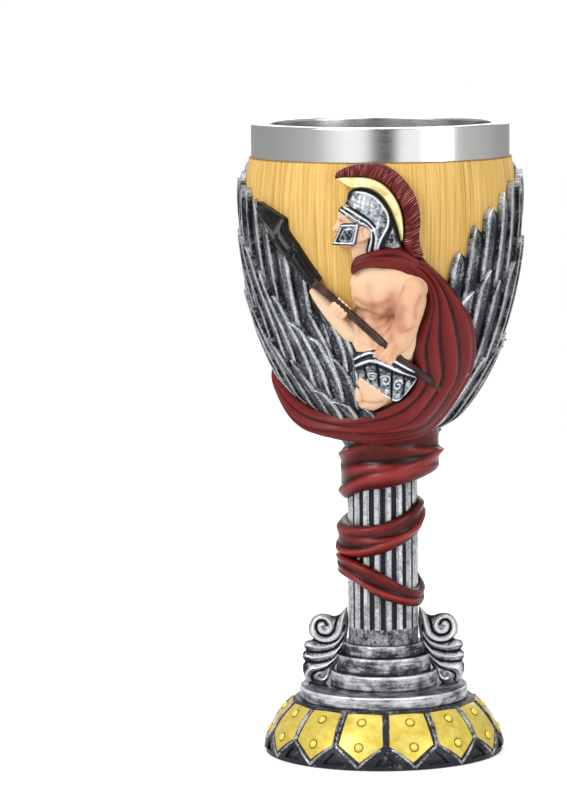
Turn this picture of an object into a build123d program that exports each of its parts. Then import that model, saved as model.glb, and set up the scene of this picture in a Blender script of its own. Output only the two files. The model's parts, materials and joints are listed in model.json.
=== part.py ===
from build123d import *
from math import asin, cos, degrees, radians, sin, sqrt
import os

os.makedirs("parts", exist_ok=True)

# The cup stands on Z = 0 with its axis on Z. The front figure faces -Y, the shield side faces +Y.
# Azimuths are in degrees round the cup, 0 at the front and positive towards +X.

# Foot and plinth
foot_radius = 35.9
foot_height = 16.1
foot_neck_radius = 26.9
foot_lip_height = 2.6
foot_belly_radius = 33.6
foot_belly_height = 8.4
disc_radius = 25.4
disc_thickness = 3.8
disc_edge = 0.6
low_step_radius = 16.2
low_step_height = 4.6
mid_step_radius = 14.3
mid_step_height = 5.0
top_step_radius = 12.3
top_step_height = 3.6
step_edge = 0.7

# Column and its capital under the bowl
column_radius = 10.6
column_height = 57.9
flute_count = 18
flute_radius = 1.3
flute_depth = 0.95
flute_start = 4.3
capital_height = 6.0
capital_flare = 1.1

# Bowl: its painted wall is an ellipse below the widest place and another above it
belly_radius = 40.6
bowl_drop = 73.0
shoulder_rise = 15.0
shoulder_curve = 57.6
bowl_wall_height = 83.0
wall_steps = 8
shoulder_steps = 2

# Steel liner
band_height = 10.0
rim_radius = 38.6
lip_width = 4.8
liner_wall = 0.8
liner_straight = 25.0
liner_drop = 50.0
liner_depth = 73.0
liner_clearance = 0.35
lip_edge = 0.6

# Stand-offs of the painted relief from the bowl, and the seam under and between its pieces
glue_seam = 0.12
wing_base = 1.1
feather_rise = 2.0
front_feather_rise = 2.8
cape_rise = 2.3
fold_rise = 3.3
skin_rise = 2.2
armour_rise = 3.2
armour_ridge_rise = 4.0
spear_rise = 4.2
crest_rise = 4.2
holder_rise = 3.4
collar_rise = 4.4
shield_rise = 3.0
shield_rim_rise = 3.9
emblem_rise = 3.6
blade_rise = 5.0
overrun = 5.0
small_chip_share = 0.02

# Heights that follow from those above
disc_top = foot_height + disc_thickness
low_step_top = disc_top + low_step_height
mid_step_top = low_step_top + mid_step_height
top_step_top = mid_step_top + top_step_height
column_top = top_step_top + column_height
bowl_bottom = column_top + capital_height
seam_height = bowl_bottom + bowl_wall_height
cup_height = seam_height + band_height
belly_height = seam_height - shoulder_rise
bowl_tip_height = belly_height - bowl_drop
painted_height = seam_height - bowl_tip_height
reach = belly_radius + overrun


def bowl_radius(height):
    """Radius of the bare bowl wall at a height."""
    curve = bowl_drop if height < belly_height else shoulder_curve
    return belly_radius * sqrt(1 - ((height - belly_height) / curve) ** 2)


def height_at(share):
    """Height of a share of the painted wall, 0 at the tip of its ellipse and 1 at the steel seam."""
    return bowl_tip_height + share * painted_height


def facing_plane(azimuth):
    """Upright plane through the cup's axis, seen square on from an azimuth."""
    turn = radians(azimuth)
    return Plane((0, 0, 0), x_dir=(cos(turn), sin(turn), 0), z_dir=(sin(turn), -cos(turn), 0))


def flat(azimuth, share, facing):
    """A place on the bowl wall as drawn in the plane of an azimuth."""
    height = height_at(share)
    return (bowl_radius(height) * sin(radians(azimuth - facing)), height)


def spot(azimuth, share, stand_off):
    """A place off the bowl wall in space."""
    height = height_at(share)
    radius = bowl_radius(height) + stand_off
    return Vector(radius * sin(radians(azimuth)), -radius * cos(radians(azimuth)), height)


def curve_points(centre_height, radius, drop, start_angle, end_angle, steps):
    """Points of an upright ellipse round the cup's axis, from one angle to another."""
    angles = [start_angle + (end_angle - start_angle) * step / steps for step in range(steps + 1)]
    return [
        (radius * cos(radians(angle)), centre_height + drop * sin(radians(angle)))
        for angle in angles
    ]


def bowl_body(stand_off):
    """The bowl's full form, grown by a stand-off, between its flat bottom and the steel seam."""
    radius = belly_radius + stand_off
    drop = bowl_drop + stand_off
    curve = shoulder_curve + stand_off
    low_angle = -degrees(asin((belly_height - bowl_bottom) / drop))
    high_angle = degrees(asin(shoulder_rise / curve))
    lower = curve_points(belly_height, radius, drop, low_angle, 0, wall_steps)
    upper = curve_points(belly_height, radius, curve, 0, high_angle, shoulder_steps)
    with BuildPart() as body:
        with BuildSketch(Plane.XZ):
            with BuildLine():
                wall = Spline(*lower, *upper[1:])
                Polyline(wall @ 1, (0, seam_height), (0, bowl_bottom), wall @ 0)
            make_face()
        revolve(axis=Axis.Z)
    return body.part


bodies = {}


def grown(stand_off):
    """The bowl's form at one stand-off, built once."""
    if stand_off not in bodies:
        bodies[stand_off] = bowl_body(stand_off)
    return bodies[stand_off]


def draw_outline(points_shares, facing):
    """A closed outline with straight sides between places on the wall."""
    points = [flat(azimuth, share, facing) for azimuth, share in points_shares]
    with BuildLine() as edge:
        Polyline(*points, close=True)
    make_face(edge.edges())


def draw_runs(runs_shares, facing):
    """A closed outline of runs, each a smooth curve from the end of the run before."""
    with BuildLine() as edge:
        for run in runs_shares:
            points = [flat(azimuth, share, facing) for azimuth, share in run]
            if len(points) > 2:
                Spline(*points)
            else:
                Line(*points)
    make_face(edge.edges())


def draw_strip(ends_shares, facing, half_width):
    """A straight strip of even width between two places."""
    start, end = [Vector(*flat(azimuth, share, facing)) for azimuth, share in ends_shares]
    side = (end - start).normalized().rotate(Axis.Z, 90) * half_width
    with BuildLine() as edge:
        Polyline(start + side, end + side, end - side, start - side, close=True)
    make_face(edge.edges())


def draw_leaf(leaf_shares, facing, half_width):
    """A pointed blade from its root, through its middle, to its tip."""
    root, middle, tip = [Vector(*flat(azimuth, share, facing)) for azimuth, share in leaf_shares]
    side = (tip - root).normalized().rotate(Axis.Z, 90) * half_width
    with BuildLine() as edge:
        Spline(root, middle + side, tip)
        Spline(root, middle - side, tip)
    make_face(edge.edges())


def layer(draw, outline, facing, stand_off, *sizes):
    """What an outline covers, from the cup's axis out to a stand-off from the wall."""
    limit = grown(stand_off)
    with BuildPart() as block:
        with BuildSketch(facing_plane(facing)):
            draw(outline, facing, *sizes)
        extrude(amount=reach)
        add(limit, mode=Mode.INTERSECT)
    return block.part


def leaves(blades_shares, facing, stand_off, half_width):
    """A fan of pointed blades, each raised to a stand-off."""
    limit = grown(stand_off)
    with BuildPart() as block:
        with BuildSketch(facing_plane(facing)):
            for blade in blades_shares:
                draw_leaf(blade, facing, half_width)
        extrude(amount=reach)
        add(limit, mode=Mode.INTERSECT)
    return block.part


def without_chips(solids):
    """The solids of a piece, less the small chips that its cuts set free."""
    largest = max(solid.volume for solid in solids)
    return [solid for solid in solids if solid.volume > largest * small_chip_share]


def seat(layers, neighbours=()):
    """Joins layers and solids, then clears the wall behind them and the pieces beside them."""
    wall = grown(glue_seam)
    with BuildPart() as piece:
        for block in layers:
            add(block)
        add(wall, mode=Mode.SUBTRACT)
        for neighbour in neighbours:
            for solid in neighbour:
                add(solid, mode=Mode.SUBTRACT)
    return without_chips(piece.part.solids())


def limb(start, end, start_radius, end_radius):
    """A round tapering limb with ball ends."""
    along = end - start
    across = along.cross(Vector(0, 0, 1)).normalized()
    side = Plane(start, x_dir=along, z_dir=across)
    with BuildPart() as body:
        with BuildSketch(side):
            Circle(start_radius)
            with Locations((along.length, 0)):
                Circle(end_radius)
            make_hull()
            half = along.length + start_radius + end_radius
            Rectangle(2 * half, half, align=(Align.CENTER, Align.MAX), mode=Mode.SUBTRACT)
        revolve(axis=Axis(start, along))
    return body.part


def egg(centre, along, half_length, half_width):
    """An egg-like solid, round about its long direction, with its seam turned to the cup's axis."""
    direction = Vector(*along).normalized()
    across = direction.cross(Vector(-centre.X, -centre.Y, 0)).normalized()
    side = Plane(centre, x_dir=direction, z_dir=across)
    with BuildPart() as body:
        with BuildSketch(side):
            Ellipse(half_length, half_width)
            Rectangle(3 * half_length, 3 * half_width, align=(Align.CENTER, Align.MAX), mode=Mode.SUBTRACT)
        revolve(axis=Axis(centre, direction))
    return body.part


def save(solids, name):
    """Writes a finished piece as its own node."""
    with BuildPart() as piece:
        for solid in solids:
            add(solid)
    piece.part.label = name
    export_step(piece.part, f"parts/{name}.step")


# Steel liner: a drawn cup whose lip turns over the bowl's upstand and comes down as the bare band
mouth_radius = rim_radius - lip_width
lip_height = cup_height - liner_straight
floor_height = cup_height - liner_depth
floor_angle = degrees(asin((lip_height - floor_height) / liner_drop))
under_floor = floor_height - liner_wall
under_angle = degrees(asin((lip_height - under_floor) / (liner_drop + liner_wall)))
outer_mouth = mouth_radius + liner_wall
with BuildPart() as steel_liner:
    with BuildSketch(Plane.XZ):
        with BuildLine():
            inside = Spline(
                *curve_points(lip_height, mouth_radius, liner_drop, -floor_angle, 0, wall_steps)
            )
            outside = Spline(
                *curve_points(lip_height, outer_mouth, liner_drop + liner_wall, -under_angle, 0, wall_steps)
            )
            Polyline(
                inside @ 1,
                (mouth_radius, cup_height),
                (rim_radius, cup_height),
                (rim_radius, seam_height),
                (rim_radius - liner_wall, seam_height),
                (rim_radius - liner_wall, cup_height - liner_wall),
                (outer_mouth, cup_height - liner_wall),
                outside @ 1,
            )
            Polyline(inside @ 0, (0, floor_height), (0, under_floor), outside @ 0)
        make_face()
    revolve(axis=Axis.Z)
    fillet(steel_liner.edges().filter_by(GeomType.CIRCLE).group_by(Axis.Z)[-1], lip_edge)
save(steel_liner.solids(), "steel_liner")

# Cast bowl: the painted wall, hollow for the liner, with an upstand inside the steel band
cavity_grow = liner_wall + liner_clearance
upstand_radius = rim_radius - cavity_grow
upstand_top = cup_height - cavity_grow
cavity_radius = mouth_radius + cavity_grow
cavity_floor = floor_height - cavity_grow
cavity_angle = degrees(asin((lip_height - cavity_floor) / (liner_drop + cavity_grow)))
with BuildPart() as bowl_shell:
    add(grown(0.0))
    with BuildSketch(Plane.XY.offset(seam_height)):
        Circle(upstand_radius)
    extrude(amount=upstand_top - seam_height)
    with BuildSketch(Plane.XZ):
        with BuildLine():
            cavity = Spline(
                *curve_points(
                    lip_height, cavity_radius, liner_drop + cavity_grow, -cavity_angle, 0, wall_steps
                )
            )
            Polyline(
                cavity @ 1,
                (cavity_radius, cup_height),
                (0, cup_height),
                (0, cavity_floor),
                cavity @ 0,
            )
        make_face()
    revolve(axis=Axis.Z, mode=Mode.SUBTRACT)
save(bowl_shell.solids(), "bowl_shell")

# Capital: a flared collar of leaves between the column and the bowl
capital_radius = bowl_radius(bowl_bottom) - glue_seam
with BuildPart() as capital:
    with BuildSketch(Plane.XZ):
        with BuildLine():
            leaf_curve = RadiusArc(
                (column_radius + glue_seam, column_top),
                (capital_radius - capital_flare, bowl_bottom - capital_flare),
                2 * capital_height,
            )
            Polyline(
                leaf_curve @ 1,
                (capital_radius, bowl_bottom),
                (0, bowl_bottom),
                (0, column_top),
                leaf_curve @ 0,
            )
        make_face()
    revolve(axis=Axis.Z)
save(capital.solids(), "capital")

# Column: a straight shaft with round-ended flutes above a plain foot
flute_end = top_step_top + flute_start
flute_circle = column_radius + flute_radius - flute_depth
with BuildPart() as column:
    with BuildSketch(Plane.XY.offset(top_step_top)):
        Circle(column_radius)
    extrude(amount=column_height)
    with BuildPart(Plane.XZ, mode=Mode.PRIVATE) as flute:
        with BuildSketch(Plane.XZ):
            with Locations((flute_circle, flute_end)):
                Rectangle(flute_radius, column_height, align=(Align.MIN, Align.MIN))
                Circle(flute_radius)
            with Locations((flute_circle, flute_end)):
                Rectangle(
                    2 * flute_radius, 2 * column_height, align=(Align.MAX, Align.CENTER), mode=Mode.SUBTRACT
                )
        revolve(axis=Axis((flute_circle, 0, 0), (0, 0, 1)))
    with PolarLocations(0, flute_count, start_angle=-90):
        add(flute.part, mode=Mode.SUBTRACT)
save(column.solids(), "column")


def stem_ring(radius, low, high, edge):
    """A turned ring of the plinth with a softened top edge."""
    with BuildPart() as ring:
        with BuildSketch(Plane.XY.offset(low)):
            Circle(radius)
        extrude(amount=high - low)
        fillet(ring.edges().group_by(Axis.Z)[-1], edge)
    return ring.solids()


# Plinth: three round steps on a broad disc
save(stem_ring(top_step_radius, mid_step_top, top_step_top, step_edge), "step_upper")
save(stem_ring(mid_step_radius, low_step_top, mid_step_top, step_edge), "step_middle")
save(stem_ring(low_step_radius, disc_top, low_step_top, step_edge), "step_lower")
save(stem_ring(disc_radius, foot_height, disc_top, disc_edge), "plinth_disc")

# Foot: a flared casting with sunk frames for the gilt plaques
plaque_count = 14
plaque_first_angle = 13.9
plaque_width = 13.6
plaque_top_width = 10.6
plaque_rise = 10.4
plaque_point = 5.3
plaque_shoulder_radius = 33.7
plaque_shoulder_height = 7.1
plaque_tilt = 37.0
plaque_thickness = 0.7
frame_depth = 0.9
gusset_width = 7.4
gusset_height = 3.4
gusset_drop = 5.9


def foot_body(sink):
    """The foot's flare, sunk by a depth below its outer surface."""
    with BuildPart() as body:
        with BuildSketch(Plane.XZ):
            with BuildLine():
                flare = ThreePointArc(
                    (foot_neck_radius - sink, foot_height),
                    (foot_belly_radius - sink * cos(radians(plaque_tilt)), foot_belly_height),
                    (foot_radius - sink, foot_lip_height),
                )
                Polyline(
                    flare @ 1,
                    (foot_radius - sink, 0),
                    (0, 0),
                    (0, foot_height),
                    flare @ 0,
                )
            make_face()
        revolve(axis=Axis.Z)
    return body.part


def slope_plane(azimuth):
    """Plane on the foot's slope at the height of the plaques' shoulders."""
    turn = radians(azimuth)
    level = cos(radians(plaque_tilt))
    origin = (
        plaque_shoulder_radius * sin(turn),
        -plaque_shoulder_radius * cos(turn),
        plaque_shoulder_height,
    )
    outward = (level * sin(turn), -level * cos(turn), sin(radians(plaque_tilt)))
    return Plane(origin, x_dir=(cos(turn), sin(turn), 0), z_dir=outward)


def draw_plaque(inset):
    """A plaque's outline: a level top, spread shoulders and a point below."""
    with BuildLine() as edge:
        Polyline(
            (-plaque_top_width / 2 + inset, plaque_rise - inset),
            (plaque_top_width / 2 - inset, plaque_rise - inset),
            (plaque_width / 2 - inset, 0),
            (0, -plaque_point + inset),
            (-plaque_width / 2 + inset, 0),
            close=True,
        )
    make_face(edge.edges())


plaque_pitch = 360 / plaque_count
sunk_foot = foot_body(frame_depth)
with BuildPart() as pockets:
    for index in range(plaque_count):
        azimuth = plaque_first_angle + index * plaque_pitch
        with BuildSketch(slope_plane(azimuth)):
            draw_plaque(0)
        extrude(amount=overrun, both=True)
        with BuildSketch(slope_plane(azimuth + plaque_pitch / 2)):
            with Locations((0, -gusset_drop)):
                Triangle(a=gusset_width, c=gusset_height * sqrt(2), B=45, align=(Align.CENTER, Align.MIN))
        extrude(amount=overrun, both=True)
    add(sunk_foot, mode=Mode.SUBTRACT)
with BuildPart() as foot:
    add(foot_body(0))
    add(pockets.part, mode=Mode.SUBTRACT)
save(foot.solids(), "foot")

plaque_top_body = foot_body(frame_depth - glue_seam - plaque_thickness)
plaque_low_body = foot_body(frame_depth - glue_seam)
for index in range(plaque_count):
    azimuth = plaque_first_angle + index * plaque_pitch
    with BuildPart() as plaque:
        with BuildSketch(slope_plane(azimuth)):
            draw_plaque(glue_seam)
        extrude(amount=overrun, both=True)
        add(plaque_top_body, mode=Mode.INTERSECT)
        add(plaque_low_body, mode=Mode.SUBTRACT)
    save(plaque.solids(), f"plaque_{index + 1:02d}")

# Scrolls: on each side a stem leaves the column and rolls into a volute over three leaf lobes
scroll_stock = 1.35
scroll_depth = 3.0
stem_start_radius = 11.8
stem_start_rise = 11.4
stem_bend = 9.0
stem_turn = 70
stem_lean = 20
volute_bend = 3.1
volute_inner_bend = 1.9
volute_turn = 190
lobe_radius = 2.1
lobe_reach = 21.3
lobe_pitch = 2.5
lobe_count = 3
lobe_root_rise = 7.5
foot_curl_radius = 2.4
foot_curl_reach = 18.8


def stem_core():
    """The column, steps and disc as one plain form, for clearing what is seated round them."""
    with BuildPart() as core:
        for radius, low, high in (
            (column_radius, top_step_top, bowl_bottom),
            (top_step_radius, mid_step_top, top_step_top),
            (mid_step_radius, low_step_top, mid_step_top),
            (low_step_radius, disc_top, low_step_top),
            (disc_radius, 0, disc_top),
        ):
            with BuildSketch(Plane.XY.offset(low)):
                Circle(radius + glue_seam)
            extrude(amount=high - low + glue_seam)
    return core.part


core = stem_core()


def scroll(side):
    """One scroll, on the side given as 1 or -1."""
    with BuildPart() as body:
        with BuildLine(Plane.XZ) as path:
            stem = JernArc(
                (side * stem_start_radius, top_step_top + stem_start_rise),
                (side * sin(radians(stem_lean)), -cos(radians(stem_lean))),
                stem_bend,
                side * stem_turn,
            )
            outer = JernArc(stem @ 1, stem % 1, volute_bend, side * volute_turn)
            JernArc(outer @ 1, outer % 1, volute_inner_bend, side * volute_turn)
        with BuildSketch(Plane(path.line @ 0, x_dir=(0, 1, 0), z_dir=path.line % 0)):
            Ellipse(scroll_depth, scroll_stock)
        sweep(path=path.line)
    eye = Vector(side * (stem_start_radius + stem_bend / 2), 0, top_step_top + stem_start_rise / 3)
    lobes = []
    for index in range(lobe_count):
        outer_end = Vector(
            side * (lobe_reach - abs(index - 1) * scroll_stock / 2),
            0,
            low_step_top + lobe_radius + index * lobe_pitch,
        )
        root_rise = lobe_root_rise + index * scroll_stock
        root = Vector(side * (top_step_radius + scroll_stock), 0, low_step_top + root_rise)
        lobes.append(limb(root, outer_end, scroll_stock, lobe_radius))
        if index == 0:
            lobes.append(limb(outer_end, curl_centre(side), lobe_radius, scroll_stock))
    lobes.append(limb(eye, lobes_meet(side), scroll_stock, scroll_stock))
    with BuildPart() as whole:
        add(body.part)
        for lobe in lobes:
            add(lobe)
        with BuildSketch(Plane.XZ):
            with Locations((curl_centre(side).X, curl_centre(side).Z)):
                Circle(foot_curl_radius)
        extrude(amount=scroll_depth, both=True)
        add(core, mode=Mode.SUBTRACT)
    return without_chips(whole.solids())


def curl_centre(side):
    """Middle of the small roll that the lowest leaf lobe turns down into, just clear of the disc."""
    return Vector(side * foot_curl_reach, 0, disc_top + foot_curl_radius + 2 * glue_seam)


def lobes_meet(side):
    """Where the stem and the leaf lobes grow together."""
    return Vector(side * (mid_step_radius + scroll_stock), 0, mid_step_top + scroll_stock)


save(scroll(-1), "scroll_left")
save(scroll(1), "scroll_right")

# Cape turns: three folded bands wound round the column under the bowl
fold_radius = 1.55
fold_pitch = 2.45


def turn_of_cape(centre, lean, ring_radius, folds, neighbours):
    """A tilted ring of round folds, filled in to the column."""
    axis = Vector(*lean).normalized()
    across = axis.cross(Vector(0, 1, 0)).normalized()
    section = Plane(centre, x_dir=across, z_dir=across.cross(axis))
    middle = (folds - 1) / 2
    with BuildPart() as ring:
        with BuildSketch(section):
            for index in range(folds):
                with Locations((ring_radius, (index - middle) * fold_pitch)):
                    Circle(fold_radius)
            with Locations((ring_radius, 0)):
                Rectangle(
                    ring_radius - column_radius / 2,
                    2 * middle * fold_pitch + fold_radius,
                    align=(Align.MAX, Align.CENTER),
                )
        revolve(axis=Axis(centre, axis))
        add(core, mode=Mode.SUBTRACT)
        for neighbour in neighbours:
            for solid in neighbour:
                add(solid, mode=Mode.SUBTRACT)
    return ring.solids()


upper_turn_height = 52.6
upper_turn_radius = 13.7
upper_turn_shift = 2.3
middle_turn_height = 35.6
middle_turn_radius = 12.2
lower_turn_height = 20.9
lower_turn_radius = 12.2
lower_turn_shift = 0.6
turn_wall = [grown(glue_seam)]
upper_turn = turn_of_cape(
    (upper_turn_shift, 0, top_step_top + upper_turn_height),
    (-0.28, 0.05, 1),
    upper_turn_radius,
    4,
    (capital.solids(), turn_wall),
)
middle_turn = turn_of_cape(
    (0, 0, top_step_top + middle_turn_height), (-0.2, -0.22, 1), middle_turn_radius, 3, ()
)
lower_turn = turn_of_cape(
    (-lower_turn_shift, 0, top_step_top + lower_turn_height),
    (0.35, -0.21, 1),
    lower_turn_radius,
    3,
    (middle_turn,),
)
save(upper_turn, "cape_turn_upper")
save(middle_turn, "cape_turn_middle")
save(lower_turn, "cape_turn_lower")

# Front figure: a warrior in profile, leaning on a spear, under a long cape
front = 0
fist_radius = 3.0
fist_width = 2.7
far_fist_radius = 2.7
shaft_half_width = 1.15
shoulder_radius = 4.5
elbow_radius = 3.4
wrist_radius = 2.3
near_shoulder = spot(14.5, 0.575, -fist_radius / 6)
near_elbow = spot(11.5, 0.46, fist_radius / 3)
near_wrist = spot(7, 0.385, wrist_radius)
near_arm = seat(
    [
        limb(near_shoulder, near_elbow, shoulder_radius, elbow_radius),
        limb(near_elbow, near_wrist, elbow_radius, wrist_radius),
        egg(spot(4.2, 0.36, wrist_radius), (1, 0, 0.6), fist_radius, fist_width),
    ]
)
far_hand = seat(
    [
        limb(spot(-25, 0.575, 0), spot(-18, 0.545, wrist_radius / 2), wrist_radius, far_fist_radius),
        egg(spot(-17.5, 0.545, wrist_radius / 2), (1, 0, -0.6), far_fist_radius * 1.2, far_fist_radius),
    ]
)
shaft_ends_shares = ((-28, 0.62), (27, 0.25))
spear_shaft = seat(
    [layer(draw_strip, shaft_ends_shares, front, spear_rise, shaft_half_width)],
    (near_arm, far_hand),
)
head_outline_shares = (
    (-62, 0.845), (-45, 0.81), (-44, 0.775), (-38, 0.72), (-28.2, 0.635),
    (-30, 0.605), (-41, 0.67), (-55, 0.74), (-59, 0.77),
)
spear_head = seat(
    [layer(draw_outline, head_outline_shares, front, spear_rise)], (spear_shaft,)
)
save(near_arm, "near_arm")
save(far_hand, "far_hand")
save(spear_shaft, "spear_shaft")
save(spear_head, "spear_head")

kilt_outline_shares = (
    (-12.5, 0.345), (-4, 0.365), (2, 0.335), (12, 0.34), (16, 0.285),
    (13, 0.24), (6, 0.21), (-2, 0.235), (-8, 0.285),
)
kilt_ridges_shares = (
    ((-9, 0.33), (-7, 0.30), (-6, 0.265)),
    ((-5, 0.345), (-3, 0.30), (-2, 0.245)),
    ((1, 0.325), (3, 0.27), (4, 0.22)),
    ((6, 0.325), (8, 0.28), (9, 0.235)),
    ((11, 0.325), (12.5, 0.29), (13, 0.25)),
)
kilt_ridge_width = 1.0
kilt = seat(
    [
        layer(draw_outline, kilt_outline_shares, front, armour_rise),
        leaves(kilt_ridges_shares, front, armour_ridge_rise, kilt_ridge_width),
    ],
    (near_arm, spear_shaft),
)
save(kilt, "kilt")

thigh_outline_shares = (
    (-12.5, 0.31), (-11.5, 0.22), (-11, 0.155), (-2, 0.17), (6, 0.205), (-2, 0.24), (-8, 0.29),
)
thigh_radius = 3.4
thigh = seat(
    [
        layer(draw_outline, thigh_outline_shares, front, skin_rise),
        limb(
            spot(-9.5, 0.27, -thigh_radius / 5),
            spot(-2, 0.195, -thigh_radius / 5),
            thigh_radius,
            thigh_radius,
        ),
    ],
    (kilt,),
)
save(thigh, "thigh")

chest_length = 10.5
chest_width = 9.0
belly_width = 8.1
belly_sink = 4.68
torso_outline_shares = (
    (-13, 0.655), (-15, 0.60), (-21, 0.565), (-30, 0.59), (-27, 0.53), (-21, 0.47), (-14, 0.40),
    (-12.5, 0.33), (-6, 0.33), (2, 0.31), (12, 0.33), (16, 0.45), (19, 0.55), (18, 0.62), (10, 0.655),
)
torso = seat(
    [
        layer(draw_outline, torso_outline_shares, front, skin_rise),
        egg(spot(3, 0.57, -chest_width / 2), (0, 0, 1), chest_length, chest_width),
        egg(spot(-4, 0.43, -belly_sink), (0.25, 0, 1), chest_length, belly_width),
        limb(spot(-9, 0.61, -shoulder_radius / 3), spot(12, 0.61, -shoulder_radius / 3),
             elbow_radius, shoulder_radius),
    ],
    (near_arm, far_hand, spear_shaft, spear_head, kilt, thigh),
)
save(torso, "torso")

# Head, helmet and crest of the front figure
face_length = 6.6
face_width = 5.4
neck_radius = 3.8
dome_length = 8.0
dome_width = 6.8
helmet_outline_shares = (
    (-16, 0.845), (-14, 0.90), (-7, 0.915), (0, 0.905), (5, 0.865), (8, 0.80), (10, 0.725),
    (5, 0.715), (-4, 0.718), (-6, 0.75), (-5, 0.785), (-8, 0.79), (-10, 0.745), (-20, 0.745),
    (-17, 0.79), (-10, 0.80), (-9, 0.82),
)
helmet = seat(
    [
        layer(draw_outline, helmet_outline_shares, front, armour_rise),
        egg(spot(-3, 0.82, -dome_width / 4), (0.15, 0, 1), dome_length, dome_width),
    ],
    (),
)
holder_runs_shares = (
    ((-18, 0.945), (-12, 0.958), (-4, 0.958), (4, 0.93), (9.5, 0.87), (11.5, 0.79), (11, 0.735)),
    ((11, 0.735), (9, 0.735)),
    ((9, 0.735), (7.5, 0.82), (3.5, 0.885), (-3, 0.917), (-10, 0.925), (-18, 0.945)),
)
crest_runs_shares = (
    ((-18.6, 0.955), (-15, 0.98), (-8, 0.992), (0, 0.991), (8, 0.965), (14.5, 0.90), (17, 0.82),
     (16.5, 0.755), (18.5, 0.70)),
    ((18.5, 0.70), (11.2, 0.72)),
    ((11.2, 0.72), (11.7, 0.79), (9.8, 0.872), (4.2, 0.934), (-4, 0.962), (-12, 0.962), (-18.6, 0.955)),
)
crest_holder = seat([layer(draw_runs, holder_runs_shares, front, holder_rise)], (helmet,))
helmet_crest = seat([layer(draw_runs, crest_runs_shares, front, crest_rise)], (crest_holder, helmet))
collar_runs_shares = (
    ((-13.5, 0.66), (-12, 0.69), (-5, 0.712), (3, 0.708), (11, 0.70), (18.5, 0.69)),
    ((18.5, 0.69), (17, 0.635)),
    ((17, 0.635), (12, 0.645), (4, 0.662), (-5, 0.662), (-11, 0.645), (-13.5, 0.66)),
)
cape_collar = seat(
    [layer(draw_runs, collar_runs_shares, front, collar_rise)],
    (helmet, helmet_crest, torso, near_arm),
)
head = seat(
    [
        egg(spot(-10.5, 0.78, -face_width / 5), (0.1, 0, 1), face_length, face_width),
        limb(spot(-8, 0.73, -neck_radius / 6), spot(-4, 0.66, -neck_radius / 3), neck_radius, neck_radius),
    ],
    (helmet, crest_holder, cape_collar, torso),
)
save(helmet, "helmet")
save(crest_holder, "crest_holder")
save(helmet_crest, "helmet_crest")
save(cape_collar, "cape_collar")
save(head, "head")

# Cape of the front figure: it falls behind the back, then sweeps forward under the thigh
cape_runs_shares = (
    ((18.5, 0.695), (26, 0.655), (34, 0.60), (41.5, 0.54), (46, 0.46), (47.5, 0.37), (45.5, 0.29),
     (40, 0.20), (33, 0.12), (30, 0.062)),
    ((30, 0.062), (-12, 0.062)),
    ((-12, 0.062), (-12, 0.135)),
    ((-12, 0.135), (-3, 0.165), (5, 0.20), (12, 0.235), (16.5, 0.28)),
    ((16.5, 0.28), (14, 0.34), (13, 0.39), (16, 0.46), (20, 0.56), (16.5, 0.63), (18.5, 0.695)),
)
cape_folds_shares = (
    ((22, 0.66), (33, 0.52), (34, 0.28)),
    ((30, 0.60), (40, 0.46), (39, 0.26)),
    ((22, 0.55), (25, 0.40), (24, 0.22)),
    ((36, 0.22), (22, 0.14), (-4, 0.10)),
    ((40, 0.30), (30, 0.16), (10, 0.14)),
)
fold_half_width = 1.4
cape_front = seat(
    [
        layer(draw_runs, cape_runs_shares, front, cape_rise),
        leaves(cape_folds_shares, front, fold_rise, fold_half_width),
    ],
    (near_arm, spear_shaft, kilt, thigh, torso, cape_collar, helmet_crest, upper_turn),
)
save(cape_front, "cape_front")

sweep_azimuth = -50
sweep_runs_shares = (
    ((-11.5, 0.135), (-22, 0.125), (-35, 0.125), (-50, 0.14), (-65, 0.175), (-78, 0.215), (-90, 0.28)),
    ((-90, 0.28), (-95, 0.27), (-92, 0.235)),
    ((-92, 0.235), (-78, 0.16), (-60, 0.105), (-45, 0.085), (-30, 0.068), (-11.5, 0.062)),
    ((-11.5, 0.062), (-11.5, 0.135)),
)
roll_radius = 2.5
roll_places_shares = ((-91, 0.262), (-77, 0.178), (-58, 0.115), (-38, 0.092), (-16, 0.092))
roll_stand_offs_share = (0.9, 1.4, 1.1, 0.6, 0.3)
roll_spots = [
    spot(azimuth, share, lift * roll_radius)
    for (azimuth, share), lift in zip(roll_places_shares, roll_stand_offs_share)
]
cape_sweep = seat(
    [layer(draw_runs, sweep_runs_shares, sweep_azimuth, cape_rise)]
    + [limb(start, end, roll_radius, roll_radius) for start, end in zip(roll_spots, roll_spots[1:])],
    (cape_front, thigh, upper_turn),
)
save(cape_sweep, "cape_sweep")

# Shield side: helmet, face, bent arm with a short sword, and the round shield below them
back = 180
visor_width = 3.4
visor_height = 2.6
cheek_gap = 2.0
cheek_drop = 6.2
guard_length = 9.2
guard_width = 7.6
helmet_wall = 1.0
helmet_place = spot(185.5, 0.883, -0.28 * guard_width)
helmet_room = egg(helmet_place, (0, 0, 1), guard_length + glue_seam, guard_width + glue_seam)
face_core = egg(helmet_place, (0, 0, 1), guard_length - helmet_wall, guard_width - helmet_wall)
helmet_centre = flat(185.5, 0.87, back)
with BuildPart() as eye_slots:
    with BuildSketch(facing_plane(back)):
        for side in (-1, 1):
            with Locations((helmet_centre[0] + side * (visor_width / 2 + helmet_wall), helmet_centre[1])):
                Ellipse(visor_width / 2, visor_height / 2)
            with Locations((helmet_centre[0] + side * (cheek_gap / 2 + helmet_wall), helmet_centre[1])):
                Rectangle(cheek_gap, cheek_drop, align=(Align.CENTER, Align.MAX))
    extrude(amount=belly_radius + overrun)
rear_helmet = seat(
    [egg(helmet_place, (0, 0, 1), guard_length, guard_width)],
    ([face_core], [eye_slots.part]),
)
rear_face = seat([face_core])
rear_shoulder_radius = 4.0
rear_wrist_radius = 2.6
rear_fist_radius = 3.1
shoulder_sink = 0.92
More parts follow.
